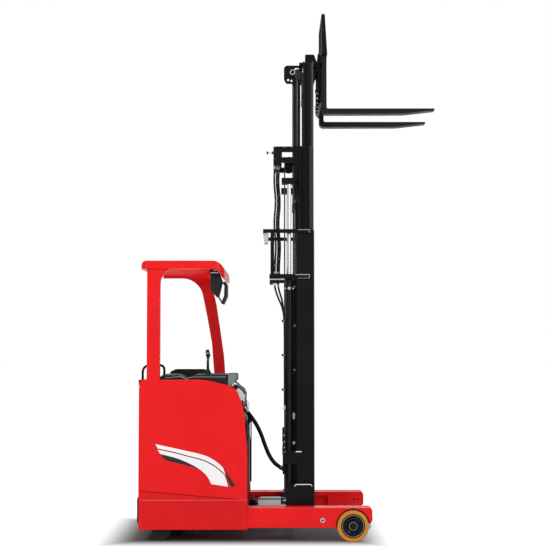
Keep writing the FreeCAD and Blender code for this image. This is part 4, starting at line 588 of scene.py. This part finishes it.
# ---- wheels and legs
def load_wheel_details():
    """Each load wheel's retaining ring, dust cap and nuts, and the mark that shows it turning."""
    for side, sign in SIDES.items():
        x, z = axle(f"{side}_load_hub")
        face = outer_face(f"{side}_load_hub", sign)
        ring, cap, mark, nuts, line = shapes(5)
        ring.ring((x, face, z), sign, 0.0862, 0.0832, -0.001, 0.0016, 64)
        cap.lathe("y", (x, face, z), [(0.0420, -0.002), (0.0420, 0.004), (0.0395, 0.0075),
                                      (0.0300, 0.0100), (0.0120, 0.0115)], 48, sign)
        line.ring((x, face, z), sign, 0.0325, 0.0305, 0.0080, 0.0112, 48)
        mark.lathe("y", (x - 0.034, face, z - 0.046), [(0.0045, -0.001), (0.0045, 0.0010)], 16, sign)
        nuts.bolt_circle((x, face, z), sign, 5, 0.063, 0.3, 0.0060)
        body = f"{side}_load_wheel"
        piece(f"{side}_load_ring", ring, "zinc_steel", body)
        piece(f"{side}_load_cap", cap, "hub_black", body, 0.0008)
        piece(f"{side}_load_cap_line", line, "zinc_steel", body)
        piece(f"{side}_load_mark", mark, "orange_polyurethane", body, finish="ochre_mark")
        piece(f"{side}_load_nuts", nuts, "hub_black", body)


def leg_bolts():
    """A washer and a socket screw on the outer face of each leg, and a pink strip along its upper edge
    that paints the edge's highlight.
    """
    for side, sign in SIDES.items():
        low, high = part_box(f"{side}_leg")
        face = outer_face(f"{side}_leg", sign)
        place = (0.273, face, 0.173)
        washer, screw = shapes(2)
        washer.lathe("y", place, [(0.0195, -0.001), (0.0195, 0.0025), (0.0180, 0.0035),
                                  (0.0085, 0.0035), (0.0085, -0.001)], 36, sign, closed=True)
        screw.lathe("y", place, [(0.0080, -0.001), (0.0080, 0.0020)], 6, sign)
        piece(f"{side}_leg_washer", washer, "zinc_steel", "chassis", finish="pale_paint")
        piece(f"{side}_leg_screw", screw, "hub_black", "chassis")
        # Painted highlight: a pink strip along the leg's top outer edge.
        edge = Shape().block((low.x + 0.16, face, high.z - 0.0010),
                             (high.x - 0.012, face - sign * 0.006, high.z + 0.0012))
        piece(f"{side}_leg_edge", edge, "red_paint", "chassis", 0.0005, "pink_highlight")


def drive_nuts():
    """The drive wheel's nuts."""
    x, z = axle("drive_hub")
    nuts = Shape()
    nuts.bolt_circle((x, outer_face("drive_hub", -1) + 0.004, z), -1, 7, 0.072, 0.0, 0.0085)
    piece("drive_nuts", nuts, "zinc_steel", "drive_wheel")


# ---- body trims
def body_trims():
    """The bumper, the covers' edge rubbers, a pink strip along the right cover's lower seam that paints
    its highlight, the screws, and the hose tray's rail and lip.
    """
    cover_low, cover_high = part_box("right_side_cover")
    bumper = Shape().plate([(-1.188, 0.140), (-1.203, 0.146), (-1.206, 0.170), (-1.206, 0.330),
                            (-1.202, 0.352), (-1.188, 0.358)], "y", -0.560, 0.560)
    piece("rear_bumper", bumper, "black_rubber", "chassis", 0.003)
    rubber = Shape()
    for sign in (-1, 1):
        rubber.block((cover_high.x - 0.001, sign * 0.6, 0.345),
                     (cover_high.x + 0.009, sign * 0.585, 0.925))
    piece("cover_edge_rubber", rubber, "black_rubber", "chassis", 0.002)
    # Painted highlight: a pink strip along the right cover's lower edge.
    seam = Shape().block((cover_low.x + 0.004, cover_low.y - 0.0004, cover_low.z),
                         (cover_high.x - 0.003, cover_low.y + 0.004, cover_low.z + 0.0035))
    piece("cover_seam", seam, "red_paint", "chassis", 0.0006, "pink_highlight")
    screws = Shape()
    for x in (-1.160, -0.360):
        for z in (0.372, 0.900):
            screws.lathe("y", (x, cover_low.y, z),
                         [(0.0062, -0.001), (0.0062, 0.0008), (0.0048, 0.0018)], 20, -1)
    piece("cover_screws", screws, "red_paint", "chassis")
    tray_low, tray_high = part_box("hose_tray")
    rail = Shape().block((tray_low.x + 0.004, tray_low.y - 0.003, tray_high.z - 0.016),
                         (tray_high.x - 0.004, tray_low.y + 0.001, tray_high.z - 0.009))
    piece("tray_line", rail, "black_rubber", "outer_mast", 0.001)
    lip = Shape().sweep([(tray_low.x + 0.004, tray_low.y - 0.001, tray_high.z - 0.002),
                         (tray_high.x - 0.004, tray_low.y - 0.001, tray_high.z - 0.002)], 0.003, 10)
    piece("tray_lip", lip, "zinc_steel", "outer_mast")


def nose_details():
    """The cowl nose's pale side, dark rim, slats and the wire loop before it."""
    face = -0.5880
    side, rim, slats, hook = shapes(4)
    side.plate([(-0.416, 1.206), (-0.396, 1.223), (-0.357, 1.190), (-0.343, 1.174), (-0.342, 1.160),
                (-0.347, 1.140), (-0.351, 1.086), (-0.384, 1.130)], "y", face - 0.0012, face + 0.0010)
    rim.sweep(in_plane(face, [(-0.424, 1.238), (-0.396, 1.230), (-0.362, 1.200), (-0.346, 1.174)]),
              0.0050, 10)
    for drop in (0.0, 0.026, 0.052):
        top = 1.118 - drop
        slats.plate([(-0.374, top), (-0.368, top + 0.010), (-0.346, top - 0.014), (-0.352, top - 0.024)],
                    "y", face - 0.0030, face)
    hook.sweep(in_plane(face - 0.002, [(-0.444, 1.238), (-0.440, 1.252), (-0.426, 1.258),
                                       (-0.412, 1.250)]), 0.0042, 10)
    piece("nose_side", side, "black_plastic", "chassis", 0.0006, "pale_paint")
    piece("nose_rim", rim, "black_plastic", "chassis", finish="shade_black")
    piece("nose_slats", slats, "black_plastic", "chassis", 0.0008, "shade_black")
    piece("nose_hook", hook, "zinc_steel", "chassis", finish="stripe_white")
    wire = smooth_line(in_plane(-0.566, [(-0.336, 1.128), (-0.324, 1.116), (-0.313, 1.088),
                                         (-0.314, 1.060), (-0.322, 1.036)]))
    piece("nose_wire", Shape().sweep(wire, 0.0035, 10), "zinc_steel", "chassis", finish="pale_trim")


def corner_cap():
    """The black cap behind the cover's top rear corner, and the bead along its rear edge."""
    low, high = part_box("right_side_cover")
    reach = 0.030
    arc = [(low.x + reach - reach * math.sin(math.radians(turn * 9)),
            high.z - reach + reach * math.cos(math.radians(turn * 9))) for turn in range(11)]
    outline = [(low.x - 0.004, high.z + 0.001), *arc, (low.x - 0.004, high.z - reach - 0.030)]
    cap = Shape().plate(outline, "y", low.y - 0.0012, low.y + 0.006)
    piece("corner_cap", cap, "black_plastic", "chassis", 0.0006)
    bead = Shape().sweep([(low.x + 0.005, low.y + 0.0045, low.z + 0.012),
                          (low.x + 0.005, low.y + 0.0045, high.z - reach - 0.035)], 0.0075, 16)
    piece("cover_bead", bead, "red_paint", "chassis")


def lamp_strip():
    """The lamp's bright mounting strip."""
    near = outer_face("lamp_and_mirror", -1)
    strip = Shape().block((-0.624, near - 0.0020, 2.1405), (-0.560, near + 0.003, 2.1490))
    piece("lamp_strip", strip, "zinc_steel", "chassis", 0.0008, "pale_trim")


def wheel_arches():
    """A flat black sheet that paints the shade in the gap round the top of each load wheel."""
    for side, sign in SIDES.items():
        x, z = axle(f"{side}_load_tyre")
        face = outer_face(f"{side}_leg", sign)
        turns = [math.radians(-8 + 4 * step) for step in range(49)]
        outline = [(x + radius * math.cos(turn), z + radius * math.sin(turn))
                   for radius, arc in ((0.1375, turns), (0.1300, turns[::-1])) for turn in arc]
        gap_shade_sheet = Shape().plate(outline, "y", face - 0.0008, face + 0.0008)
        piece(f"{side}_arch_gap_shade", gap_shade_sheet, "black_rubber", "chassis")


def console_details():
    """Buttons, a pale line along the console's near top edge that paints its highlight, a grey end and
    bright rings on a lever.
    """
    near = -0.5715
    rim = [(-0.980, 1.302), (-0.870, 1.312), (-0.832, 1.300), (-0.816, 1.288), (-0.800, 1.300),
           (-0.762, 1.309), (-0.500, 1.309)]
    # Painted highlight: a pale line along the console's near top edge.
    edge = Shape().sweep(in_plane(near, rim), 0.0022, 8)
    piece("console_edge", edge, "grey_plastic", "chassis", finish="pale_trim")
    cap = Shape().plate([(-0.482, 1.236), (-0.482, 1.333), (-0.4135, 1.333), (-0.4135, 1.294),
                         (-0.434, 1.262), (-0.434, 1.236)], "y", -0.5735, near)
    piece("console_end", cap, "grey_plastic", "chassis", 0.0008, "mid_trim")
    buttons = Shape()
    for x in (-0.600, -0.560, -0.520):
        buttons.lathe("z", (x, -0.160, 0), [(0.0100, 1.300), (0.0100, 1.318), (0.0085, 1.321)], 20)
    piece("console_buttons", buttons, "black_plastic", "chassis")
    lever_low, lever_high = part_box("control_levers")
    glints = Shape()
    for z in (lever_high.z - 0.030, lever_high.z - 0.085):
        glints.lathe("z", ((lever_low.x + lever_high.x) / 2 + 0.004, lever_low.y + 0.012, z),
                     [(0.0165, -0.003), (0.0175, 0.0), (0.0165, 0.003)], 20)
    piece("lever_rings", glints, "zinc_steel", "chassis")


# ---- fine details
def channel_edges():
    """A lighter, shinier bead along the front outer edge of each stage's channels; its lighter steel
    paints the edge's highlight.
    """
    for node, body, proud in (("outer_channels", "outer_mast", 0.0030),
                              ("middle_channels", "middle_mast", 0.0002),
                              ("inner_channels", "inner_mast", 0.0002)):
        low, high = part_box(node)
        beads = Shape()
        for face in (low.y, high.y):
            y = face - math.copysign(0.0040 - proud, face)
            x = high.x - 0.0042
            beads.sweep([(x, y, low.z + 0.012), (x, y, high.z - 0.012)], 0.0040, 12)
        piece(node + "_edges", beads, "cylinder_black", body, finish="front_highlight_steel")


def hose_bands():
    """Crimped markers along the mast's hoses, which follow them as they bend."""
    bands = Shape()
    for number, place in enumerate(MAST_PLACES):
        path = smooth_line(mast_route(*place))
        for step in range(5 + 2 * number, len(path) - 4, 9):
            here, there = Vector(path[step]), Vector(path[step + 1])
            ahead = (there - here).normalized()
            bands.sweep([here, here + ahead * 0.002, here + ahead * 0.010, here + ahead * 0.012],
                        [0.0084, 0.0096, 0.0096, 0.0084], 14)
    thing = piece("mast_hose_bands", bands, "zinc_steel", finish="dull_trim")
    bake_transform(thing)


def tray_mechanism():
    """The guide at the rear of the hose tray: rollers, a link and its pins."""
    low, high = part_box("hose_tray")
    block, rollers, pins, rail = shapes(4)
    block.plate([(low.x - 0.075, 0.222), (low.x + 0.004, 0.222), (low.x + 0.004, 0.262),
                 (low.x - 0.030, 0.300), (low.x - 0.060, 0.300), (low.x - 0.075, 0.280)],
                "y", low.y + 0.006, high.y - 0.006)
    block.sweep([(low.x - 0.008, low.y + 0.001, 0.240), (low.x - 0.050, low.y + 0.001, 0.312)], 0.0065, 10)
    for x, z in ((low.x - 0.052, 0.306), (low.x - 0.016, 0.286)):
        rollers.lathe("y", (x, 0, z), [(0.0140, low.y + 0.002), (0.0150, low.y + 0.005),
                                       (0.0150, high.y - 0.005), (0.0140, high.y - 0.002)], 24)
        pins.lathe("y", (x, low.y, z), [(0.0060, -0.003), (0.0060, 0.0015), (0.0045, 0.0030)], 16, -1)
    for x, z in ((low.x - 0.062, 0.246), (low.x - 0.028, 0.236), (low.x - 0.014, 0.256)):
        pins.bolt((x, low.y + 0.006, z), -1, 0.0058)
    rail.sweep(smooth_line(in_plane(low.y - 0.002, [
        (high.x - 0.010, 0.232), (high.x + 0.006, 0.250), (high.x + 0.006, 0.290),
        (high.x - 0.010, 0.308)])), 0.0050, 10)
    piece("tray_guide", block, "mast_black", "outer_mast", 0.001)
    piece("tray_rollers", rollers, "black_rubber", "outer_mast")
    piece("tray_pins", pins, "zinc_steel", "outer_mast", finish="pale_trim")
    piece("tray_end", rail, "zinc_steel", "outer_mast", finish="pale_trim")


def edge_highlights():
    """White lines that paint the highlights on the top edges of the carriage's side plates and the barrel
    brackets, and the plates' bolts.
    """
    plate_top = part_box("reach_carriage")[1].z
    bracket_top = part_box("barrel_brackets")[1].z
    for side, sign in SIDES.items():
        face = outer_face("reach_carriage", sign)
        # Painted highlights: white lines along the side plate's and the bracket's top edges.
        line = Shape().sweep(in_plane(face, [
            (0.050, plate_top - 0.014), (0.062, plate_top - 0.001), (0.180, plate_top - 0.001),
            (0.192, plate_top - 0.014)]), 0.0036, 10)
        bracket = outer_face("barrel_brackets", sign)
        line.sweep([(0.062, bracket, bracket_top - 0.003), (0.110, bracket, bracket_top - 0.003)],
                   0.0042, 10)
        piece(f"{side}_edge_highlights", line, "zinc_steel", "outer_mast", finish="stripe_white")
        bolts = Shape()
        for x in (0.090, 0.165):
            for z in (0.180, 0.300):
                bolts.bolt((x, face, z), sign, 0.0095)
        piece(f"{side}_plate_bolts", bolts, "hub_black", "outer_mast")


def leg_plugs():
    """Two plugged holes near the front of each leg's inner face."""
    for side, sign in SIDES.items():
        face = outer_face(f"{side}_leg", -sign)
        plugs = Shape()
        for x, z in ((0.590, 0.208), (0.622, 0.203)):
            plugs.lathe("y", (x, face, z), [(0.0085, -0.0006), (0.0085, 0.0030)], 20, sign)
        piece(f"{side}_leg_plugs", plugs, "black_rubber", "chassis")


def barrel_fittings():
    """Valve, unions and sensor bodies beside each lift barrel."""
    for side, sign in SIDES.items():
        y = sign * BARREL_OFFSET
        valve, unions, screws = shapes(3)
        valve.block((-0.044, y - sign * 0.012, 0.712), (-0.0165, y + sign * 0.012, 0.842))
        for z in (0.828, 0.776, 0.730):
            screws.bolt((-0.031, y + sign * 0.012, z), sign, 0.0060)
        for steps, profile in ((12, [(0.0050, 0.958), (0.0085, 0.962), (0.0085, 1.008), (0.0050, 1.012)]),
                               (6, [(0.0045, 0.752), (0.0070, 0.756), (0.0070, 0.776), (0.0045, 0.780)])):
            unions.lathe("z", (0.0480, sign * 0.366, 0), profile, steps)
        piece(f"{side}_valve", valve, "cylinder_black", "outer_mast", 0.0015)
        piece(f"{side}_unions", unions, "zinc_steel", "outer_mast", finish="pale_paint")
        piece(f"{side}_valve_screws", screws, "zinc_steel", "outer_mast", finish="pale_trim")


def fork_hoses():
    """Two hoses that hang from a port block on the tilt frame and turn in below it."""
    ends = Shape()
    for number, x in enumerate((0.236, 0.250)):
        y = -0.290 + 0.004 * number
        points = [(x, y, 3.662), (x, y - 0.002, 3.610), (x, y + 0.001, 3.550), (x, y + 0.016, 3.504),
                  (x, y + 0.050, 3.486), (x, y + 0.084, 3.504), (x, y + 0.092, 3.556)]
        path = hose(f"fork_hose_{number}", points, THIN_RADIUS, ("fork_tilt",), (ends, ends))
        for index in range(6, len(path) - 6, 7):
            here, there = Vector(path[index]), Vector(path[index + 1])
            ends.sweep([here, here + (there - here).normalized() * 0.008], 0.0068, 12)
    block = Shape().block((0.2265, -0.304, 3.660), (0.2600, -0.2755, 3.684))
    piece("fork_hose_ends", ends, "zinc_steel", "fork_tilt")
    piece("fork_hose_block", block, "mast_black", "fork_tilt", 0.002)


# ---- every added piece
reach_hoses()
mast_hoses()
leaf_chain("stage_chain_rear")
leaf_chain("stage_chain_front")
leaf_chain("carriage_chain_rear")
leaf_chain("carriage_chain_front")
barrel_pipes()
barrel_glands()
backrest_cushion()
side_stripes()
carriage_hoses()
guard_hoses()
guard_details()
guard_fittings()
top_frame_details()
load_wheel_details()
leg_bolts()
drive_nuts()
body_trims()
nose_details()
corner_cap()
lamp_strip()
wheel_arches()
console_details()
barrel_fittings()
fork_hoses()
channel_edges()
hose_bands()
tray_mechanism()
edge_highlights()
leg_plugs()


# ---- materials
# Every material by its name.
FINISHES = {}


def colour(*steps):
    """A colour written in 0 to 255 steps, as the linear values that nodes take."""
    parts = [step / 255 for step in steps]
    return (*(part / 12.92 if part <= 0.04045 else ((part + 0.055) / 1.055) ** 2.4 for part in parts),
            1.0)


class NodeTree:
    """The shader nodes of a material or a world, empty at first."""

    def __init__(self, owner):
        owner.use_nodes = True
        self.tree = owner.node_tree
        self.tree.nodes.clear()

    def put(self, socket, thing):
        """Link another node's socket, or set a plain value."""
        if hasattr(thing, "is_linked"):
            self.tree.links.new(thing, socket)
        else:
            socket.default_value = thing

    def make(self, kind, inputs, **settings):
        """A node with its settings, its inputs linked or set."""
        node = self.tree.nodes.new("ShaderNode" + kind)
        for key, thing in settings.items():
            setattr(node, key, thing)
        for key, thing in inputs.items():
            self.put(node.inputs[key], thing)
        return node

    def calc(self, kind, first, second=0.0):
        """The result of a math node on two factors."""
        return self.make("Math", {0: first, 1: second}, operation=kind).outputs[0]

    def seen_directly(self):
        """One where the camera, a reflection or a clear material looks."""
        path = self.make("LightPath", {})
        seen = self.calc("MAXIMUM", path.outputs["Is Camera Ray"], path.outputs["Is Glossy Ray"])
        return self.calc("MAXIMUM", seen, path.outputs["Is Transmission Ray"])


class Shader(NodeTree):
    """One material, which joins FINISHES under its name."""

    def __init__(self, name):
        self.material = bpy.data.materials.new(name)
        super().__init__(self.material)
        FINISHES[name] = self.material
        self.output = self.make("OutputMaterial", {})
        self.surface = self.make("BsdfPrincipled", {})
        self.put(self.output.inputs[0], self.surface.outputs[0])
        self.space = self.make("TexCoord", {}).outputs["Object"]

    def noise(self, scale, detail=4.0, rough=0.55, stretch=None):
        """A noise factor, drawn out along the axes that stretch makes small."""
        space = self.space
        if stretch:
            space = self.make("Mapping", {"Vector": space, "Scale": stretch}).outputs[0]
        return self.make("TexNoise", {"Vector": space, "Scale": scale, "Detail": detail,
                                      "Roughness": rough}).outputs["Fac"]

    def ramp(self, fac, low, high, bottom=0.0, top=1.0):
        """The factor's range low to high spread over bottom to top."""
        return self.make("MapRange", {"Value": fac, "From Min": low, "From Max": high, "To Min": bottom,
                                      "To Max": top}, interpolation_type="SMOOTHSTEP").outputs[0]

    def mix(self, fac, first, second):
        """Two colours mixed, each a socket or its three steps."""
        pair = [colour(*tone) if isinstance(tone, tuple) else tone for tone in (first, second)]
        return self.make("Mix", {0: fac, 6: pair[0], 7: pair[1]}, data_type="RGBA").outputs[2]

    def bump(self, height, distance):
        """Fine relief on edges that are eased by a couple of millimetres."""
        soft = self.make("Bevel", {"Radius": 0.0025}, samples=4).outputs[0]
        return self.make("Bump", {"Height": height, "Distance": distance, "Strength": 1.0,
                                  "Normal": soft}).outputs[0]

    def finish(self, **inputs):
        """Set the surface's inputs, named with _ for each space."""
        for key, thing in inputs.items():
            self.put(self.surface.inputs[key.replace("_", " ")], thing)


def enamel(name, base, shade, rough, specular=0.2, peel=0.00006, dusty=0.10, lit_front=None):
    """Sprayed enamel: slight cloudy colour, fine orange peel, dust and uneven gloss.

    The last argument gives the range of x over which the colour turns lighter towards a front edge: a
    painted highlight.
    """
    s = Shader(name)
    cloud = s.ramp(s.noise(2.3, 4.0, 0.6), 0.35, 0.75)
    dust = s.ramp(s.noise(38.0, 5.0, 0.65), 0.55, 0.8)
    tone = s.mix(cloud, base, shade)
    tone = s.mix(s.calc("MULTIPLY", dust, dusty), tone, (150, 145, 140))
    # Painted highlight: the colour turns lighter towards the front edge over the range of x given last.
    if lit_front:
        front = s.ramp(s.make("SeparateXYZ", {0: s.space}).outputs["X"], *lit_front)
        tone = s.mix(s.calc("MULTIPLY", front, 0.75), tone, (92, 93, 95))
    gloss = s.ramp(s.noise(9.0, 4.0), 0.3, 0.7, rough - 0.05, rough + 0.07)
    s.finish(Base_Color=tone, Roughness=gloss, Normal=s.bump(s.noise(420.0, 2.0), peel),
             Specular_IOR_Level=specular)


def plastic(name, base, shade, rough, grain=900.0, depth=0.00012, specular=0.25):
    """Moulded plastic with a fine leathery grain."""
    s = Shader(name)
    grain_fac = s.make("TexVoronoi", {"Vector": s.space, "Scale": grain}).outputs["Distance"]
    tone = s.mix(s.ramp(s.noise(6.0, 4.0), 0.35, 0.7), base, shade)
    gloss = s.ramp(s.noise(14.0, 3.0), 0.3, 0.7, rough - 0.05, rough + 0.06)
    s.finish(Base_Color=tone, Roughness=gloss, Normal=s.bump(grain_fac, depth),
             Specular_IOR_Level=specular)


def steel(name, base, shade, rough, stretch, depth=0.00003):
    """Bare or plated steel with brushed or turned marks."""
    s = Shader(name)
    marks = s.noise(30.0, 4.0, 0.6, stretch)
    tone = s.mix(s.ramp(marks, 0.3, 0.7), base, shade)
    gloss = s.ramp(marks, 0.3, 0.7, rough - 0.05, rough + 0.08)
    s.finish(Base_Color=tone, Metallic=1.0, Roughness=gloss, Normal=s.bump(marks, depth))


def tyre(name, base, shade, rough, specular=0.2):
    """Cast polyurethane or rubber, scuffed where it rolls."""
    s = Shader(name)
    scuff = s.ramp(s.noise(55.0, 5.0, 0.7), 0.45, 0.72)
    tone = s.mix(scuff, base, shade)
    gloss = s.ramp(s.noise(24.0, 4.0), 0.3, 0.7, rough - 0.08, rough + 0.08)
    s.finish(Base_Color=tone, Roughness=gloss, Normal=s.bump(s.noise(240.0, 4.0, 0.7), 0.0002),
             Specular_IOR_Level=specular)


# The finishes of the slots.
enamel("red_paint", (240, 24, 26), (232, 19, 23), 0.34, 0.18)
# A darker copy of red_paint: its darker red paints shade on the parts of its slot.
enamel("dark_red_paint", (226, 19, 23), (210, 16, 20), 0.40)
enamel("mast_black", (11, 11, 12), (18, 18, 19), 0.40, 0.09, dusty=0.03)
enamel("fork_black", (17, 17, 18), (26, 25, 25), 0.46, 0.14, dusty=0.05)
enamel("hub_black", (14, 14, 15), (22, 22, 23), 0.42, 0.12, dusty=0.04)
enamel("cylinder_black", (12, 12, 13), (18, 18, 19), 0.30, 0.16, dusty=0.02)
steel("rod_chrome", (206, 208, 212), (188, 190, 195), 0.14, (1, 1, 0.02))
steel("zinc_steel", (182, 184, 186), (150, 152, 156), 0.36, (1, 1, 0.2))
steel("chain_steel", (96, 94, 91), (60, 58, 56), 0.36, (1, 1, 0.3))
plastic("black_plastic", (24, 25, 25), (31, 32, 32), 0.50, specular=0.15)
plastic("grey_plastic", (56, 62, 58), (48, 54, 51), 0.48)
tyre("orange_polyurethane", (216, 140, 42), (190, 118, 32), 0.46)
tyre("dark_polyurethane", (40, 39, 38), (54, 52, 50), 0.6)
tyre("black_rubber", (15, 15, 16), (24, 23, 23), 0.55, 0.16)
plastic("pad_leather", (30, 30, 32), (40, 40, 43), 0.55, 420.0, 0.0003)
enamel("battery_case", (48, 50, 54), (58, 60, 64), 0.5)
# Finishes that differ from their slot's: stripes, trims, dark steel that paints shade on the rod, pink
# that paints highlights on seams, lighter front edges that paint highlights on the channels, and a
# near-white that paints light onto the shaded tray.
# Channel blacks that turn lighter towards their front edges: a painted highlight.
enamel("middle_black", (11, 11, 12), (18, 18, 19), 0.40, 0.09, dusty=0.03, lit_front=(0.166, 0.200))
enamel("inner_black", (13, 13, 14), (22, 22, 23), 0.40, 0.12, dusty=0.03, lit_front=(0.178, 0.212))
plastic("shade_black", (18, 18, 19), (24, 24, 25), 0.55, specular=0.1)
# A lighter steel for the channel edge beads, which paints their highlight.
steel("front_highlight_steel", (70, 71, 73), (46, 47, 49), 0.34, (1, 1, 0.1))
steel("dull_trim", (120, 121, 122), (92, 93, 94), 0.45, (1, 1, 0.3))
# Dark steel on the chrome free-lift rods: painted shade.
steel("shaded_rod_steel", (58, 58, 60), (44, 44, 46), 0.24, (1, 1, 0.02))
# Near-white on the hose tray: painted light in place of the light that its shade keeps off.
enamel("tray_light_painted", (250, 250, 252), (240, 240, 242), 0.42)
enamel("stripe_white", (255, 255, 255), (250, 250, 250), 0.40, 0.3, dusty=0.02)
enamel("stripe_grey", (50, 55, 52), (44, 48, 46), 0.40, 0.1)
enamel("stripe_line", (150, 14, 20), (130, 12, 18), 0.40, 0.1)
# Pink that paints highlights on the right cover's seam and the legs' top edges.
enamel("pink_highlight", (255, 120, 120), (248, 104, 106), 0.30)
plastic("pale_trim", (176, 180, 177), (160, 164, 161), 0.44)
plastic("mid_trim", (128, 133, 130), (116, 121, 118), 0.44)
enamel("pale_paint", (196, 198, 200), (182, 184, 186), 0.40)
enamel("ochre_mark", (226, 190, 60), (216, 180, 50), 0.4)


# ---- finishes on every part
# Nodes whose finish differs from their slot's; on the rods it is painted shade, on the tray painted light,
# and on the channels' front edges a painted highlight.
NODE_FINISH = {
    "free_lift_rods": "shaded_rod_steel",
    "hose_tray": "tray_light_painted",
    "front_panel": "shade_black",
    "middle_channels": "middle_black",
    "inner_channels": "inner_black",
}
slot_of = {part["node"]: part["material_slot"] for part in frame["record"]["subparts"]}
for name, thing in nodes.items():
    thing.data.materials.clear()
    thing.data.materials.append(FINISHES[NODE_FINISH.get(name, slot_of[name])])
for thing, finish in PIECES:
    thing.data.materials.clear()
    thing.data.materials.append(FINISHES[finish])


# ---- floor, world and lamps
def stage_floor():
    """A pale floor that reads as white to the camera and keeps the truck's shadow.

    It glows, but less towards a rectangle under the truck, and there only the lamps light it, so the
    fading glow paints a shadow under the truck; the camera also sees a darker copy of the floor's colour,
    which is painted shade.
    """
    half = 60
    middle, half_length, half_width, fade = -0.36, 0.84, 0.47, 0.40
    mesh = bpy.data.meshes.new("floor")
    mesh.from_pydata([(-half, -half, 0), (half, -half, 0), (half, half, 0), (-half, half, 0)], [],
                     [(0, 1, 2, 3)])
    floor = bpy.data.objects.new("floor", mesh)
    scene.collection.objects.link(floor)
    s = Shader("floor_white")
    place = s.make("SeparateXYZ", {0: s.space})
    along = s.calc("ABSOLUTE", s.calc("ADD", place.outputs["X"], -middle))
    across = s.calc("ABSOLUTE", place.outputs["Y"])
    away = s.calc("MAXIMUM", s.calc("SUBTRACT", along, half_length),
                  s.calc("SUBTRACT", across, half_width))
    # Painted shadow: the glow fades out towards the rectangle under the truck.
    glow = s.make("Emission", {"Strength": s.ramp(away, 0.0, fade)})
    s.finish(Base_Color=colour(226, 226, 226), Roughness=0.95, Specular_IOR_Level=0.0)
    # Painted shade: the camera sees this darker grey instead of the floor's own colour.
    painted_shade_diffuse = s.make("BsdfDiffuse", {"Color": colour(112, 112, 113)})
    both = s.make("AddShader", {0: painted_shade_diffuse.outputs[0], 1: glow.outputs[0]})
    pick = s.make("MixShader", {0: s.seen_directly(), 1: s.surface.outputs[0], 2: both.outputs[0]})
    s.put(s.output.inputs[0], pick.outputs[0])
    mesh.materials.append(s.material)


def world_light():
    """Soft grey light from all round; white where the camera or a reflection looks."""
    world = bpy.data.worlds.new("studio")
    scene.world = world
    s = NodeTree(world)
    white = (1, 1, 1, 1)
    soft = s.make("Background", {"Color": white, "Strength": 0.45})
    plain = s.make("Background", {"Color": white, "Strength": 1.0})
    pick = s.make("MixShader", {0: s.seen_directly(), 1: soft.outputs[0], 2: plain.outputs[0]})
    s.make("OutputWorld", {0: pick.outputs[0]})


def lamp(name, place, target, size, power):
    """A square soft box aimed at a point."""
    data = bpy.data.lights.new(name, "AREA")
    data.shape = "SQUARE"
    data.size = size
    data.energy = power
    thing = bpy.data.objects.new(name, data)
    thing.location = place
    away = [there - here for here, there in zip(place, target)]
    flat = math.hypot(away[0], away[1])
    thing.rotation_euler = (math.atan2(flat, -away[2]), 0, math.atan2(away[1], away[0]) - math.pi / 2)
    scene.collection.objects.link(thing)


stage_floor()
world_light()
lamp("key_lamp", (-4.5, -8.5, 7.5), (0, 0, 1.8), 4.0, 460)
lamp("fill_lamp", (6.5, -6.5, 4.0), (0, 0, 2.0), 4.0, 190)
lamp("top_lamp", (0.0, 1.5, 9.5), (0, 0, 1.5), 5.0, 200)
